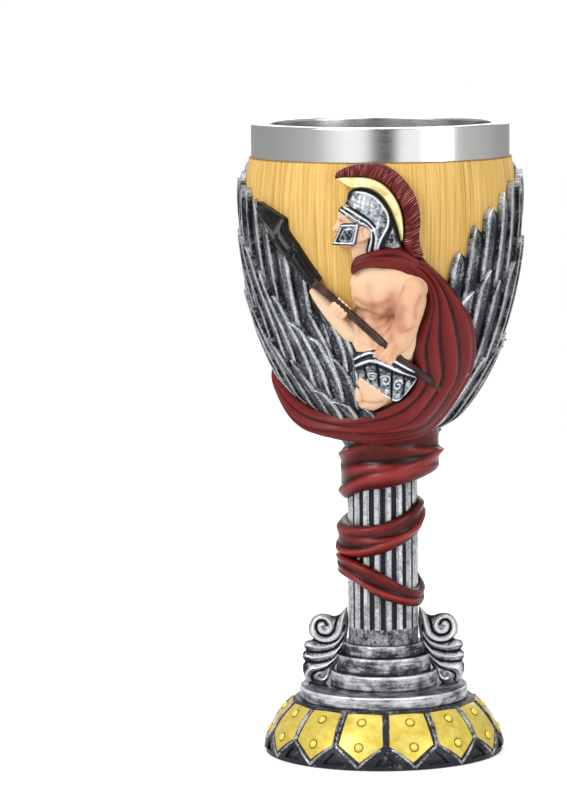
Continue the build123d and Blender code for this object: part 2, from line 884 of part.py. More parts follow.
rear_arm = seat(
    [
        limb(spot(177, 0.862, -shoulder_sink), spot(152.5, 0.835, 0), rear_shoulder_radius, elbow_radius),
        limb(spot(152.5, 0.835, 0), spot(154, 0.73, rear_wrist_radius), elbow_radius, rear_wrist_radius),
        limb(
            spot(154, 0.73, rear_wrist_radius),
            spot(158, 0.683, rear_wrist_radius),
            rear_wrist_radius,
            rear_fist_radius,
        ),
    ],
    ([helmet_room],),
)
hilt_radius = 1.2
sword_hilt = seat(
    [limb(spot(149.5, 0.655, wrist_radius), spot(166, 0.69, wrist_radius), hilt_radius, hilt_radius)],
    (rear_arm,),
)
blade_outline_shares = (
    (165.5, 0.706), (180, 0.702), (194, 0.71), (207, 0.725), (210, 0.69), (203, 0.635), (190, 0.632),
    (178, 0.66), (165.5, 0.674),
)
sword_blade = seat(
    [layer(draw_outline, blade_outline_shares, back, blade_rise)], (rear_arm, sword_hilt)
)
shield_radius = 23.2
shield_rim_width = 1.9
dogtooth_count = 24
dogtooth_width = 3.4
dogtooth_height = 3.6
dogtooth_circle = 15.8
shield_place = flat(185, 0.543, back)


def shield_layer(outer, inner, stand_off):
    """A ring or disc of the shield, out to a stand-off from the wall."""
    limit = grown(stand_off)
    with BuildPart() as block:
        with BuildSketch(facing_plane(back)):
            with Locations(shield_place):
                Circle(outer)
                if inner:
                    Circle(inner, mode=Mode.SUBTRACT)
        extrude(amount=reach)
        add(limit, mode=Mode.INTERSECT)
    return block.part


shield_guests = (rear_arm, sword_hilt, sword_blade, rear_helmet, rear_face)
shield = seat(
    [
        shield_layer(shield_radius, 0, shield_rise),
        shield_layer(shield_radius, shield_radius - shield_rim_width, shield_rim_rise),
    ],
    shield_guests,
)
tooth_limit = grown(emblem_rise)
with BuildPart() as teeth:
    with BuildSketch(facing_plane(back)):
        with Locations(shield_place):
            with PolarLocations(dogtooth_circle, dogtooth_count):
                Triangle(a=dogtooth_width, b=dogtooth_height, c=dogtooth_height, rotation=-90)
    extrude(amount=reach)
    add(tooth_limit, mode=Mode.INTERSECT)
dogtooth_ring = seat([teeth.part], (shield, *shield_guests))
save(rear_helmet, "rear_helmet")
save(rear_face, "rear_face")
save(rear_arm, "rear_arm")
save(sword_hilt, "sword_hilt")
save(sword_blade, "sword_blade")
save(shield, "shield")
save(dogtooth_ring, "dogtooth_ring")

shoulder_cape_shares = (
    (191, 0.90), (199, 0.945), (207, 0.90), (215, 0.84), (222, 0.74), (224, 0.60), (218, 0.56),
    (200, 0.66), (192, 0.74),
)
side_cape_runs_shares = (
    ((152, 0.67), (147.5, 0.61), (145.5, 0.54), (147, 0.49), (151, 0.45)),
    ((151, 0.45), (153, 0.56), (152, 0.67)),
)
cape_shoulder = seat(
    [layer(draw_outline, shoulder_cape_shares, back, cape_rise)],
    (rear_helmet, rear_face, shield, sword_blade),
)
cape_side = seat(
    [layer(draw_runs, side_cape_runs_shares, back, fold_rise)], (shield, rear_arm, sword_hilt)
)
save(cape_shoulder, "cape_shoulder")
save(cape_side, "cape_side")

rear_band_runs_shares = (
    ((93, 0.40), (105, 0.395), (120, 0.37), (135, 0.335), (150, 0.305), (165, 0.285), (182, 0.27),
     (200, 0.275), (220, 0.285), (240, 0.29), (258, 0.285)),
    ((258, 0.285), (260, 0.26), (258, 0.235)),
    ((258, 0.235), (240, 0.21), (220, 0.185), (200, 0.165), (182, 0.17), (168, 0.185), (150, 0.23),
     (135, 0.285), (120, 0.31), (105, 0.34), (93, 0.355)),
    ((93, 0.355), (90.5, 0.378), (93, 0.40)),
)
rear_folds_shares = (
    ((110, 0.375), (150, 0.27), (188, 0.25)),
    ((150, 0.25), (178, 0.20), (215, 0.20)),
    ((196, 0.255), (215, 0.25), (245, 0.255)),
)
cape_rear_band = seat(
    [
        layer(draw_runs, rear_band_runs_shares, back, cape_rise),
        leaves(rear_folds_shares, back, fold_rise, fold_half_width),
        limb(
            spot(92, 0.385, roll_radius / 3),
            spot(116, 0.362, roll_radius / 3),
            roll_radius / 2,
            roll_radius / 2,
        ),
    ],
    (shield, cape_side, cape_sweep),
)
save(cape_rear_band, "cape_rear_band")

swirl_runs_shares = (
    ((100, 0.062), (130, 0.085), (160, 0.12), (180, 0.14), (200, 0.155), (225, 0.18), (250, 0.20)),
    ((250, 0.20), (248, 0.13)),
    ((248, 0.13), (225, 0.115), (205, 0.10), (190, 0.08), (182, 0.062)),
    ((182, 0.062), (100, 0.062)),
)
swirl_folds_shares = (
    ((125, 0.07), (160, 0.095), (190, 0.125)),
    ((190, 0.105), (215, 0.14), (240, 0.165)),
)
cape_swirl = seat(
    [
        layer(draw_runs, swirl_runs_shares, back, cape_rise),
        leaves(swirl_folds_shares, back, fold_rise, fold_half_width),
    ],
    (upper_turn, cape_rear_band, cape_sweep),
)
save(cape_swirl, "cape_swirl")

# Wings: long feathers in tiers round both sides of the bowl, the rear tiers running up to the steel band
feather_half_width = 2.0
wing_left_facing = -60
wing_left_outline_shares = (
    (-105, 0.93), (-95, 0.93), (-86, 0.89), (-76, 0.885), (-68, 0.905), (-64.5, 0.86), (-60.6, 0.765),
    (-56, 0.728), (-42, 0.656), (-31.7, 0.59), (-28.6, 0.526), (-22.4, 0.46), (-16, 0.39), (-15.6, 0.34),
    (-15.4, 0.27), (-14.4, 0.215), (-12.8, 0.15), (-22, 0.139), (-35, 0.139), (-50, 0.154), (-65, 0.19),
    (-78, 0.23), (-88, 0.302), (-105, 0.302),
)
wing_left_blades_shares = (
    ((-98, 0.42), (-98, 0.66), (-96, 0.92)),
    ((-87, 0.36), (-88, 0.60), (-88, 0.88)),
    ((-73, 0.29), (-77, 0.56), (-77, 0.87)),
    ((-58, 0.24), (-67, 0.52), (-69, 0.89)),
    ((-45, 0.19), (-57, 0.46), (-61.5, 0.73)),
    ((-34, 0.18), (-45, 0.42), (-51, 0.68)),
    ((-25, 0.18), (-36, 0.40), (-43, 0.63)),
    ((-19.5, 0.22), (-28, 0.38), (-35, 0.57)),
)
wing_right_facing = 70
wing_right_outline_shares = (
    (29, 0.63), (33, 0.69), (38, 0.715), (42, 0.755), (47, 0.81), (52, 0.815), (57, 0.865), (63, 0.87),
    (70, 0.925), (84, 0.935), (90, 0.90), (105, 0.93), (105, 0.062), (25, 0.062),
)
wing_right_blades_shares = (
    ((44, 0.50), (36, 0.60), (32, 0.68)),
    ((48, 0.45), (42, 0.62), (40, 0.72)),
    ((50, 0.42), (48, 0.62), (48, 0.80)),
    ((56, 0.44), (55, 0.64), (56, 0.855)),
    ((64, 0.46), (64, 0.68), (66, 0.90)),
    ((74, 0.50), (75, 0.70), (78, 0.93)),
    ((88, 0.50), (89, 0.70), (91, 0.895)),
    ((100, 0.45), (99, 0.70), (99, 0.92)),
    ((60, 0.12), (70, 0.22), (76, 0.36)),
    ((72, 0.12), (82, 0.22), (90, 0.33)),
    ((48, 0.10), (56, 0.18), (62, 0.30)),
)
wing_right_front_blades_shares = (
    ((48, 0.36), (49, 0.50), (47, 0.61)),
    ((54, 0.34), (54, 0.50), (52.5, 0.665)),
    ((62, 0.36), (64, 0.50), (66, 0.635)),
    ((74, 0.40), (80, 0.55), (85, 0.70)),
)
rear_right_facing = 130
rear_right_outline_shares = (
    (105.3, 0.985), (162, 0.985), (163.5, 0.86), (173, 0.80), (173, 0.062), (105.3, 0.062),
)
rear_right_blades_shares = (
    ((112, 0.70), (112, 0.85), (112, 0.975)),
    ((121, 0.68), (121, 0.83), (121, 0.975)),
    ((130, 0.66), (130, 0.83), (130, 0.975)),
    ((139, 0.70), (139, 0.85), (139, 0.975)),
    ((148, 0.75), (148, 0.87), (148, 0.975)),
    ((157, 0.87), (157, 0.92), (157, 0.975)),
    ((118, 0.12), (112, 0.20), (108, 0.29)),
    ((132, 0.11), (124, 0.19), (119, 0.27)),
    ((146, 0.10), (138, 0.17), (131, 0.245)),
)
rear_right_front_blades_shares = (
    ((124, 0.40), (114, 0.55), (110, 0.70)),
    ((132, 0.38), (122, 0.55), (119, 0.73)),
    ((140, 0.36), (130, 0.50), (127, 0.66)),
    ((146, 0.34), (139, 0.52), (138, 0.76)),
)
rear_left_facing = -130
rear_left_outline_shares = (
    (-105.3, 0.985), (-141, 0.985), (-141, 0.80), (-160, 0.60), (-173, 0.30), (-173, 0.062), (-105.3, 0.062),
)
rear_left_blades_shares = (
    ((-110, 0.62), (-110, 0.80), (-110, 0.975)),
    ((-118, 0.62), (-118, 0.80), (-118, 0.975)),
    ((-126, 0.62), (-126, 0.80), (-126, 0.975)),
    ((-134, 0.62), (-134, 0.80), (-134, 0.975)),
    ((-128, 0.33), (-118, 0.50), (-112, 0.66)),
    ((-114, 0.10), (-110, 0.14), (-107, 0.20)),
)
rear_left_front_blades_shares = (
    ((-134, 0.36), (-128, 0.54), (-124, 0.72)),
    ((-122, 0.33), (-114, 0.44), (-109, 0.56)),
)


def wing(outline_shares, tiers, facing, neighbours=()):
    """A skin of feathers: a thin base and tiers of raised blades over it."""
    layers = [layer(draw_outline, outline_shares, facing, wing_base)]
    for blades_shares, rise in tiers:
        layers.append(leaves(blades_shares, facing, rise, feather_half_width))
    return seat(layers, neighbours)


wing_left = wing(wing_left_outline_shares, ((wing_left_blades_shares, feather_rise),), wing_left_facing)
wing_right = wing(
    wing_right_outline_shares,
    ((wing_right_blades_shares, feather_rise), (wing_right_front_blades_shares, front_feather_rise)),
    wing_right_facing,
    (upper_turn, spear_shaft, cape_rear_band, cape_front),
)
rear_right = wing(
    rear_right_outline_shares,
    ((rear_right_blades_shares, feather_rise), (rear_right_front_blades_shares, front_feather_rise)),
    rear_right_facing,
    (
        rear_arm,
        shield,
        cape_side,
        cape_rear_band,
        cape_swirl,
        sword_hilt,
        rear_helmet,
        rear_face,
        upper_turn,
        sword_blade,
    ),
)
rear_left = wing(
    rear_left_outline_shares,
    ((rear_left_blades_shares, feather_rise), (rear_left_front_blades_shares, front_feather_rise)),
    rear_left_facing,
    (shield, cape_shoulder, cape_rear_band, cape_swirl, cape_sweep, sword_blade, upper_turn, rear_helmet),
)
save(wing_left, "wing_left")
save(wing_right, "wing_right")
save(rear_right, "feathers_rear_right")
save(rear_left, "feathers_rear_left")
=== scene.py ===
import bmesh
import bpy
import json
import math
import numpy as np
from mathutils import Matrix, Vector

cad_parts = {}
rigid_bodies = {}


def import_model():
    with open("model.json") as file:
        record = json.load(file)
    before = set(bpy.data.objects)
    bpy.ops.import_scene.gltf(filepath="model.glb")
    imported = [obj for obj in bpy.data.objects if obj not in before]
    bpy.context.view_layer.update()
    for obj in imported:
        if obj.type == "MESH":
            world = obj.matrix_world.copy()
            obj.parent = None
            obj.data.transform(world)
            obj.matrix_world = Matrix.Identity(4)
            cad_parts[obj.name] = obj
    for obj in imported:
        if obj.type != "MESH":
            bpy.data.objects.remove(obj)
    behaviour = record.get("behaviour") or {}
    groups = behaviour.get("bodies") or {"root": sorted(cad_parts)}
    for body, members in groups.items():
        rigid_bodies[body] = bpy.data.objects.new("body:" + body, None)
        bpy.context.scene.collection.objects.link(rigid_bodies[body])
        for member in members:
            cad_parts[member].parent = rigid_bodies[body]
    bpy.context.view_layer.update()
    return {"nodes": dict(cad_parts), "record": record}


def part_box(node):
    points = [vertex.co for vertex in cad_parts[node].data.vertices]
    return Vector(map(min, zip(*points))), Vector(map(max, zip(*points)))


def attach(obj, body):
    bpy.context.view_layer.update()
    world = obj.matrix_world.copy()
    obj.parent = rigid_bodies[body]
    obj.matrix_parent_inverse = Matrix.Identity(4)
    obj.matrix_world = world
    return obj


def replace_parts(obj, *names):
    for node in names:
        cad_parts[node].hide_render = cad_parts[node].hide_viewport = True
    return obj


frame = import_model()
dice = np.random.default_rng(7)
print("frame loaded")

# the bare bowl wall in mm, which every relief piece is laid on
wall = {"radius": 40.6, "belt": 165.0, "drop": 73.0, "curve": 57.6, "bottom": 97.0, "seam": 180.0}


def wallRadius(z):
    z = np.asarray(z, float)
    d = np.where(z < wall["belt"], wall["drop"], wall["curve"])
    return wall["radius"] * np.sqrt(np.clip(1 - ((z - wall["belt"]) / d) ** 2, 0.01, 1))


# a place on the wall from azimuth (degrees, 0 at the front), height and stand-off (mm), in metres
def onWall(az, z, off):
    az = np.radians(np.asarray(az, float))
    az, z, off = np.broadcast_arrays(az, np.asarray(z, float), np.asarray(off, float))
    d = np.where(z < wall["belt"], wall["drop"], wall["curve"])
    r = wallRadius(z)
    nr, nz = r / wall["radius"] ** 2, (z - wall["belt"]) / d ** 2
    n = np.hypot(nr, nz)
    rr, zz = r + off * nr / n, z + off * nz / n
    return np.stack([rr * np.sin(az), -rr * np.cos(az), zz], -1) * 0.001


# the wall's radius under points in mm, also for points that lie past its ends
def radiusUnder(co):
    return wallRadius(np.clip(co[:, 2], wall["bottom"], wall["seam"]))


def azimuthOf(co):
    return np.degrees(np.arctan2(co[:, 0], -co[:, 1]))


def smoothStep(x):
    x = np.clip(x, 0, 1)
    return x * x * (3 - 2 * x)


def bell(x, width):
    return np.exp(-(np.asarray(x, float) / width) ** 2)


# a smooth curve through points, sampled evenly along its length
def curveThrough(points, count):
    p = np.asarray(points, float)
    if len(p) == 2:
        return p[0] + (p[1] - p[0]) * np.linspace(0, 1, count)[:, None]
    longer = np.vstack([2 * p[0] - p[1], p, 2 * p[-1] - p[-2]])
    out = []
    for i in range(len(p) - 1):
        a, b, c, d = longer[i:i + 4]
        t = np.linspace(0, 1, 24, endpoint=i == len(p) - 2)[:, None]
        out.append(0.5 * (2 * b + (c - a) * t + (2 * a - 5 * b + 4 * c - d) * t ** 2
                          + (3 * b - a - 3 * c + d) * t ** 3))
    out = np.vstack(out)
    s = np.concatenate([[0], np.cumsum(np.linalg.norm(np.diff(out, axis=0), axis=1))])
    even = np.linspace(0, s[-1], count)
    return np.stack([np.interp(even, s, out[:, k]) for k in range(out.shape[1])], -1)


def newPiece(name, verts, faces, body="goblet", slot="feather_black", attributes=None, sharp=None):
    mesh = bpy.data.meshes.new(name)
    mesh.from_pydata(np.asarray(verts, float).tolist(), [], faces)
    tidyUp = bmesh.new()
    tidyUp.from_mesh(mesh)
    bmesh.ops.recalc_face_normals(tidyUp, faces=tidyUp.faces)
    tidyUp.to_mesh(mesh)
    tidyUp.free()
    mesh.polygons.foreach_set("use_smooth", [True] * len(mesh.polygons))
    for key, values in (attributes or {}).items():
        layer = mesh.attributes.new(key, "FLOAT", "POINT")
        layer.data.foreach_set("value", np.asarray(values, np.float32).ravel())
    if sharp:
        mesh.set_sharp_from_angle(angle=math.radians(sharp))
    mesh.update()
    obj = bpy.data.objects.new(name, mesh)
    bpy.context.scene.collection.objects.link(obj)
    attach(obj, body)
    obj["pieceSlot"] = slot
    return obj


# faces of a grid of rows x columns, shifted by a first index, closed round the rows when asked
def gridFaces(rows, cols, start=0, flip=False, loop=False):
    i, j = np.meshgrid(np.arange(rows if loop else rows - 1), np.arange(cols - 1), indexing="ij")
    k = (i + 1) % rows
    quads = np.stack([i * cols + j, i * cols + j + 1, k * cols + j + 1, k * cols + j], -1)
    quads = quads.reshape(-1, 4) + start
    return quads[:, ::-1] if flip else quads


# faces round a stack of closed rings with the same number of points each
def ringFaces(rings, turns, start=0):
    low = start + turns * np.arange(rings - 1)[:, None]
    j = np.arange(turns)
    k = (j + 1) % turns
    return np.stack([low + j, low + k, low + k + turns, low + j + turns], -1).reshape(-1, 4).tolist()


# faces of a closed patch: front and back grids, the outer edge, and a fan round each middle point
def patchFaces(rows, cols):
    n = rows * cols
    i = np.arange(rows)
    a, b = i * cols, (i + 1) % rows * cols
    edge = cols - 1
    rim = np.stack([b + edge + n, a + edge + n, a + edge, b + edge], -1)
    quads = np.vstack([gridFaces(rows, cols, 0, False, True), gridFaces(rows, cols, n, True, True), rim])
    fans = np.vstack([np.stack([0 * i + 2 * n, a, b], -1), np.stack([0 * i + 2 * n + 1, b + n, a + n], -1)])
    return quads.tolist() + fans.tolist()


def joinParts(parts):
    verts, faces, n = [], [], 0
    for v, f in parts:
        verts.append(v)
        faces += [[i + n for i in face] for face in f]
        n += len(v)
    return np.vstack(verts), faces


# a closed skin from a front grid and a back grid of the same shape
def shellParts(front, back, start=0):
    rows, cols = front.shape[:2]
    n = rows * cols
    verts = np.vstack([front.reshape(-1, 3), back.reshape(-1, 3)])
    faces = [gridFaces(rows, cols, start), gridFaces(rows, cols, start + n, flip=True)]
    ring = ([(0, j) for j in range(cols)] + [(i, cols - 1) for i in range(1, rows)]
            + [(rows - 1, j) for j in range(cols - 2, -1, -1)] + [(i, 0) for i in range(rows - 2, 0, -1)])
    edge = np.array([i * cols + j for i, j in ring]) + start
    after = np.roll(edge, -1)
    faces.append(np.stack([after, edge, edge + n, after + n], -1))
    return verts, np.vstack(faces)


class Skins:
    # gathers closed skins and writes them as one piece
    def __init__(self):
        self.verts, self.faces, self.marks, self.count = [], [], {}, 0

    def put(self, front, back, **marks):
        verts, faces = shellParts(front, back, self.count)
        self.verts.append(verts)
        self.faces.append(faces)
        self.count += len(verts)
        for key, value in marks.items():
            value = np.broadcast_to(value, front.shape[:2]).ravel()
            self.marks.setdefault(key, []).append(np.concatenate([value, value]))

    def piece(self, name, slot, sharp=None):
        marks = {key: np.concatenate(value) for key, value in self.marks.items()}
        faces = [list(map(int, face)) for part in self.faces for face in part]
        return newPiece(name, np.vstack(self.verts), faces, "goblet", slot, marks, sharp)


# one feather along a path of (azimuth, height) points: a raised ridge on one side with a painted highlight,
# painted shade along its sunk side, a slanted cut at the tip
def layFeather(skins, path, width, low, rise, tilt=0.6, rows=34, cols=17):
    line = curveThrough(path, rows)
    t = np.linspace(0, 1, rows)[:, None]
    scale = np.radians(1) * wallRadius(line[:, 1])
    flatLine = np.stack([line[:, 0] * scale.mean(), line[:, 1]], -1)
    step = np.gradient(flatLine, axis=0)
    step /= np.linalg.norm(step, axis=1)[:, None] + 1e-9
    length = np.linalg.norm(np.diff(flatLine, axis=0), axis=1).sum()
    blunt = max(1 - dice.uniform(0.8, 1.5) * width / length, 0.4)
    u = np.clip((t - blunt) / (1 - blunt), 0, 1)
    half = width * (0.66 + 0.34 * smoothStep(t / 0.5))
    p = np.linspace(-1, 1, cols)[None]
    peak = dice.uniform(-0.5, 0.75)
    back, ridge = 1 - (0.94 + peak) * u ** 1.6, 1 - (0.94 - peak) * u ** 1.9
    side = 1 if tilt > 0 else -1
    across = half * side * (-back + (ridge + back) * (p + 1) / 2)
    az = line[:, 0:1] - step[:, 1:2] * across / scale[:, None]
    z = line[:, 1:2] + step[:, 0:1] * across
    ragged = 0.035 * np.sin(13 * p + 41 * t + path[0][0]) * np.sin(23 * t * length / 12 + path[-1][1])
    begin = 0.3 + 0.7 * smoothStep(t / 0.22)
    off = (low + rise * (0.12 + 0.88 * t) + abs(tilt) * p + 0.32 * (1 - p ** 2) + 0.16 * bell(p - 0.72, 0.2)
           + ragged * 0.6)
    off = np.maximum(off, 0.15) * begin
    edge = np.maximum(np.abs(p) ** 10, smoothStep((t - 0.96) / 0.04))
    # the high mark holds the silver dry-brush level plus painted light: a painted highlight along the raised
    # edge and on the tips, painted shade along the sunk edge
    lit = dice.uniform(0.75, 1.15)
    glint = 0.24 * smoothStep((p + 0.7) / 1.4) + 0.50 * bell(p - 0.80, 0.12) * (0.72 + 6 * ragged)
    high = (0.25 + lit * glint + 0.14 * bell(p - 0.05, 0.09) - 0.46 * bell(p + 0.95, 0.28)
            + 0.22 * smoothStep((t - 0.90) / 0.10) * smoothStep((p + 0.6) / 0.8))
    front = onWall(az, z, off - 0.14 * edge)
    behind = onWall(az, z, low * 0.4 + 0.05 + 0 * off)
    skins.put(front, behind, high=np.clip(high, 0, 1), along=t * length + 0 * p, across=across + path[-1][0]
              * 3.1)


# a fan of feathers whose roots and tips run along two curves of (azimuth, height) points
def layFan(skins, tips, roots, count, width, low, rise, bow=0.0, tilt=0.6, jitter=0.5):
    tipLine, rootLine = curveThrough(tips, count), curveThrough(roots, count)
    for k in range(count):
        a, b = rootLine[k], tipLine[k] + dice.uniform(-jitter, jitter, 2) * (0.8, 1.6)
        mid = (a + b) / 2
        run = b - a
        mid = mid + np.array([-run[1] * 1.45, run[0] / 1.45]) * bow
        q = (a + mid) / 2 + np.array([-run[1] * 1.45, run[0] / 1.45]) * bow * 0.22
        layFeather(skins, [a, q, mid, b], width * dice.uniform(0.92, 1.1), low, rise, tilt)


# a strip piece between two edge curves of (azimuth, height) points, raised by a function of (t, s)
def laySheet(name, nodes, slot, edges, lift, rows=60, cols=14, rounding=0.16, edgeLow=0.5, sharp=None,
             backing=0.12):
    a, b = (curveThrough(edge, rows) for edge in edges)
    t = np.linspace(0, 1, rows)[:, None]
    s = (1 - np.cos(np.linspace(0, math.pi, cols)))[None] / 2
    az = a[:, 0:1] * (1 - s) + b[:, 0:1] * s
    z = a[:, 1:2] * (1 - s) + b[:, 1:2] * s
    rim = np.minimum(np.minimum(s, 1 - s) / rounding, 1)
    rim = np.sqrt(np.clip(1 - (1 - rim) ** 2, 0, 1))
    ends = np.minimum(np.minimum(t, 1 - t) / 0.035, 1)
    ends = np.sqrt(np.clip(1 - (1 - ends) ** 2, 0, 1))
    height, high = lift(t, s)
    off = edgeLow + (height - edgeLow) * rim * (0.35 + 0.65 * ends)
    front, back = onWall(az, z, off), onWall(az, z, backing + 0 * off)
    skins = Skins()
    skins.put(front, back, high=np.clip(high, 0, 1) * (0.4 + 0.6 * rim), along=t * 60 + 0 * s,
              across=s * 12 + 0 * t)
    piece = skins.piece(name, slot, sharp)
    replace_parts(piece, *nodes)


# cloth folds: ridges that wander across the strip, sharp on one side and soft on the other, with a painted
# highlight on each ridge and painted shade in the groove beside it
def foldLift(base, depth, ridges):
    def lift(t, s):
        h, mark = base + 0 * t * s, 0.35 + 0 * t * s
        for place, drift, width, size in ridges:
            centre = place + drift * (t - 0.5) + 0.02 * np.sin(t * 7 + place * 20)
            d = (s - centre) / width
            fade = 0.62 + 0.38 * np.sin(2 * math.pi * (1.7 * t + place * 7)) * np.sin(5 * t + place * 11)
            ridge = np.where(d < 0, bell(d, 0.5), bell(d, 1.25)) * size * fade
            # painted highlight on the ridge, painted shade in the groove beside it
            h, mark = h + depth * ridge, mark + 0.55 * ridge - 0.45 * fade * bell(d + 1.05, 0.45)
        return h, mark
    return lift


# folds on a strip that bulges in its middle and sinks towards its end
def clothLift(base, depth, ridges, crown, slope=0.0):
    folds = foldLift(base, depth, ridges)

    def lift(t, s):
        h, high = folds(t, s)
        return h + crown * np.sin(math.pi * s) - slope * t, high
    return lift


# the strip of cape beside the rear arm is one plain roll, with a painted highlight along its crown
def stripLift(t, s):
    return 1.1 + 1.6 * np.sin(math.pi * s) ** 0.7 + 0 * t, 0.45 + 0.4 * bell(s - 0.45, 0.2) + 0 * t


# ridges and grooves drawn on a flat sheet (mm): each line is (its points, half width, rise, brightness)
def drawnFlat(flat, lines):
    rise, light = np.zeros(flat.shape[:-1]), np.zeros(flat.shape[:-1])
    for points, width, up, bright in lines:
        p = curveThrough(points, max(12, 6 * len(points)))
        gap = np.full(rise.shape, 99.0)
        for a, b in zip(p[:-1], p[1:]):
            run = b - a
            u = np.clip(((flat - a) @ run) / (run @ run + 1e-12), 0, 1)
            gap = np.minimum(gap, np.linalg.norm(flat - a - u[..., None] * run, axis=-1))
        rise += up * bell(gap, width)
        light += bright * bell(gap, width)
    return rise, light


# the same on the bowl, from (azimuth, height) points on a wall taken as upright
def drawn(az, z, lines, flatRadius=40.0):
    scale = (math.radians(flatRadius), 1)
    flat = np.stack(np.broadcast_arrays(az, z), -1) * scale
    return drawnFlat(flat, [(np.asarray(points) * scale, *rest) for points, *rest in lines])


# round limbs and masses melted into one skin, with no point left inside the wall
def sculpt(name, nodes, masses, slot, voxel=0.32, smooth=4, shape=None, marks=None, floor=0.1):
    verts, faces = joinParts(masses)
    mesh = bpy.data.meshes.new(name + "_raw")
    mesh.from_pydata((verts * 1000).tolist(), [], faces)
    raw = bpy.data.objects.new(name + "_raw", mesh)
    bpy.context.scene.collection.objects.link(raw)
    melt = raw.modifiers.new("melt", "REMESH")
    melt.mode, melt.voxel_size = "VOXEL", voxel
    soften = raw.modifiers.new("soften", "SMOOTH")
    soften.iterations, soften.factor = smooth, 0.5
    ready = raw.evaluated_get(bpy.context.evaluated_depsgraph_get())
    out = bpy.data.meshes.new_from_object(ready)
    bpy.data.objects.remove(raw)
    co = np.empty(len(out.vertices) * 3, np.float32)
    out.vertices.foreach_get("co", co)
    co = co.reshape(-1, 3).astype(float)
    faces = [list(p.vertices) for p in out.polygons]
    bpy.data.meshes.remove(out)
    if shape is not None:
        co = shape(co)
    r = np.hypot(co[:, 0], co[:, 1])
    need = radiusUnder(co) + floor
    push = np.where(r < need, need / np.maximum(r, 1e-6), 1)
    co[:, :2] *= push[:, None]
    raised = np.clip((np.hypot(co[:, 0], co[:, 1]) - need) / 3.0, 0, 1)
    values = {"high": raised}
    if marks is not None:
        values.update(marks(co, raised))
    piece = newPiece(name, co * 0.001, faces, "goblet", slot, values)
    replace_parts(piece, *nodes)


# a round mass along a line between two places on the wall, its radius given by a list of (share, radius mm)
def massAlong(a, b, radii, turns=20):
    a, b = onWall(*a), onWall(*b)
    axis = b - a
    length = np.linalg.norm(axis)
    axis = axis / length
    side = np.cross(axis, (0, 0, 1))
    if np.linalg.norm(side) < 1e-6:
        side = np.cross(axis, (1, 0, 0))
    side = side / np.linalg.norm(side)
    other = np.cross(axis, side)
    radii = np.asarray(radii, float)
    cap0, cap1 = radii[0, 1] * 0.001, radii[-1, 1] * 0.001
    rings = []
    for k in range(6):
        c = k / 6 * math.pi / 2
        rings.append((-cap0 * math.cos(c), cap0 * math.sin(c) + 1e-7))
    for u in np.linspace(0, 1, 14):
        rings.append((u * length, np.interp(u, radii[:, 0], radii[:, 1]) * 0.001))
    for k in range(1, 7):
        c = k / 6 * math.pi / 2
        rings.append((length + cap1 * math.sin(c), cap1 * math.cos(c) + 1e-7))
    angle = np.linspace(0, 2 * math.pi, turns, endpoint=False)
    circle = np.cos(angle)[:, None] * side + np.sin(angle)[:, None] * other
    verts = np.vstack([a + axis * u + r * circle for u, r in rings])
    faces = ringFaces(len(rings), turns)
    faces.append(list(range(turns))[::-1])
    faces.append([(len(rings) - 1) * turns + j for j in range(turns)])
    return verts, faces


# an ellipsoid at a place on the wall, with half sizes (across, up, out) in mm, turned in the wall's plane
def lump(az, z, off, size, turn=0.0):
    centre = onWall(az, z, off)
    t = math.radians(float(az))
    right, up = np.array([math.cos(t), math.sin(t), 0]), np.array([0, 0, 1.0])
    out = np.array([math.sin(t), -math.cos(t), 0])
    c, s = math.cos(math.radians(turn)), math.sin(math.radians(turn))
    e1, e2 = right * c + up * s, -right * s + up * c
    rows, cols = 12, 20
    lat = np.linspace(-math.pi / 2, math.pi / 2, rows)
    lon = np.linspace(0, 2 * math.pi, cols, endpoint=False)
    la, lo = np.meshgrid(lat, lon, indexing="ij")
    x, y, w = np.cos(la) * np.cos(lo) * size[0], np.sin(la) * size[1], np.cos(la) * np.sin(lo) * size[2]
    verts = centre + (x[..., None] * e1 + y[..., None] * e2 + w[..., None] * out) * 0.001
    return verts.reshape(-1, 3), ringFaces(rows, cols)


# finishes: each is a small node tree on the object's own coordinates
def node(tree, kind, props=None, **ins):
    made = tree.nodes.new("ShaderNode" + kind)
    for key, value in (props or {}).items():
        setattr(made, key, value)
    for key, value in ins.items():
        numbered = key[0] == "i" and key[1:].isdigit()
        socket = made.inputs[int(key[1:]) if numbered else key.replace("_", " ")]
        if isinstance(value, bpy.types.NodeSocket):
            tree.links.new(value, socket)
        else:
            socket.default_value = value
    return made


def newFinish(name, rough, metal=0.0, coat=0.0, specular=0.5):
    made = bpy.data.materials.new(name)
    made.use_nodes = True
    tree = made.node_tree
    shader = tree.nodes["Principled BSDF"]
    shader.inputs["Roughness"].default_value = rough
    shader.inputs["Metallic"].default_value = metal
    shader.inputs["Coat Weight"].default_value = coat
    shader.inputs["Specular IOR Level"].default_value = specular
    place = node(tree, "TexCoord").outputs["Object"]
    return made, tree, shader, place


def grain(tree, vector, scale, detail=4.0, rough=0.6):
    return node(tree, "TexNoise", Vector=vector, Scale=scale, Detail=detail, Roughness=rough).outputs["Fac"]


def ramp(tree, fac, stops):
    made = node(tree, "ValToRGB", Fac=fac)
    band = made.color_ramp
    while len(band.elements) < len(stops):
        band.elements.new(0.5)
    for element, (place, value) in zip(band.elements, stops):
        element.position = place
        element.color = (value, value, value, 1) if isinstance(value, (int, float)) else (*value, 1)
    return made.outputs["Color"]


def maths(tree, how, a, b=0.0, clamp=False):
    return node(tree, "Math", {"operation": how, "use_clamp": clamp}, i0=a, i1=b).outputs[0]


def plus(tree, a, b):
    return maths(tree, "ADD", a, b)


def minus(tree, a, b):
    return maths(tree, "SUBTRACT", a, b)


def times(tree, a, b, clamp=False):
    return maths(tree, "MULTIPLY", a, b, clamp)


# a level moved up and down by a share of some noise
def sway(tree, level, noise, share):
    return plus(tree, level, times(tree, minus(tree, noise, 0.5), share))


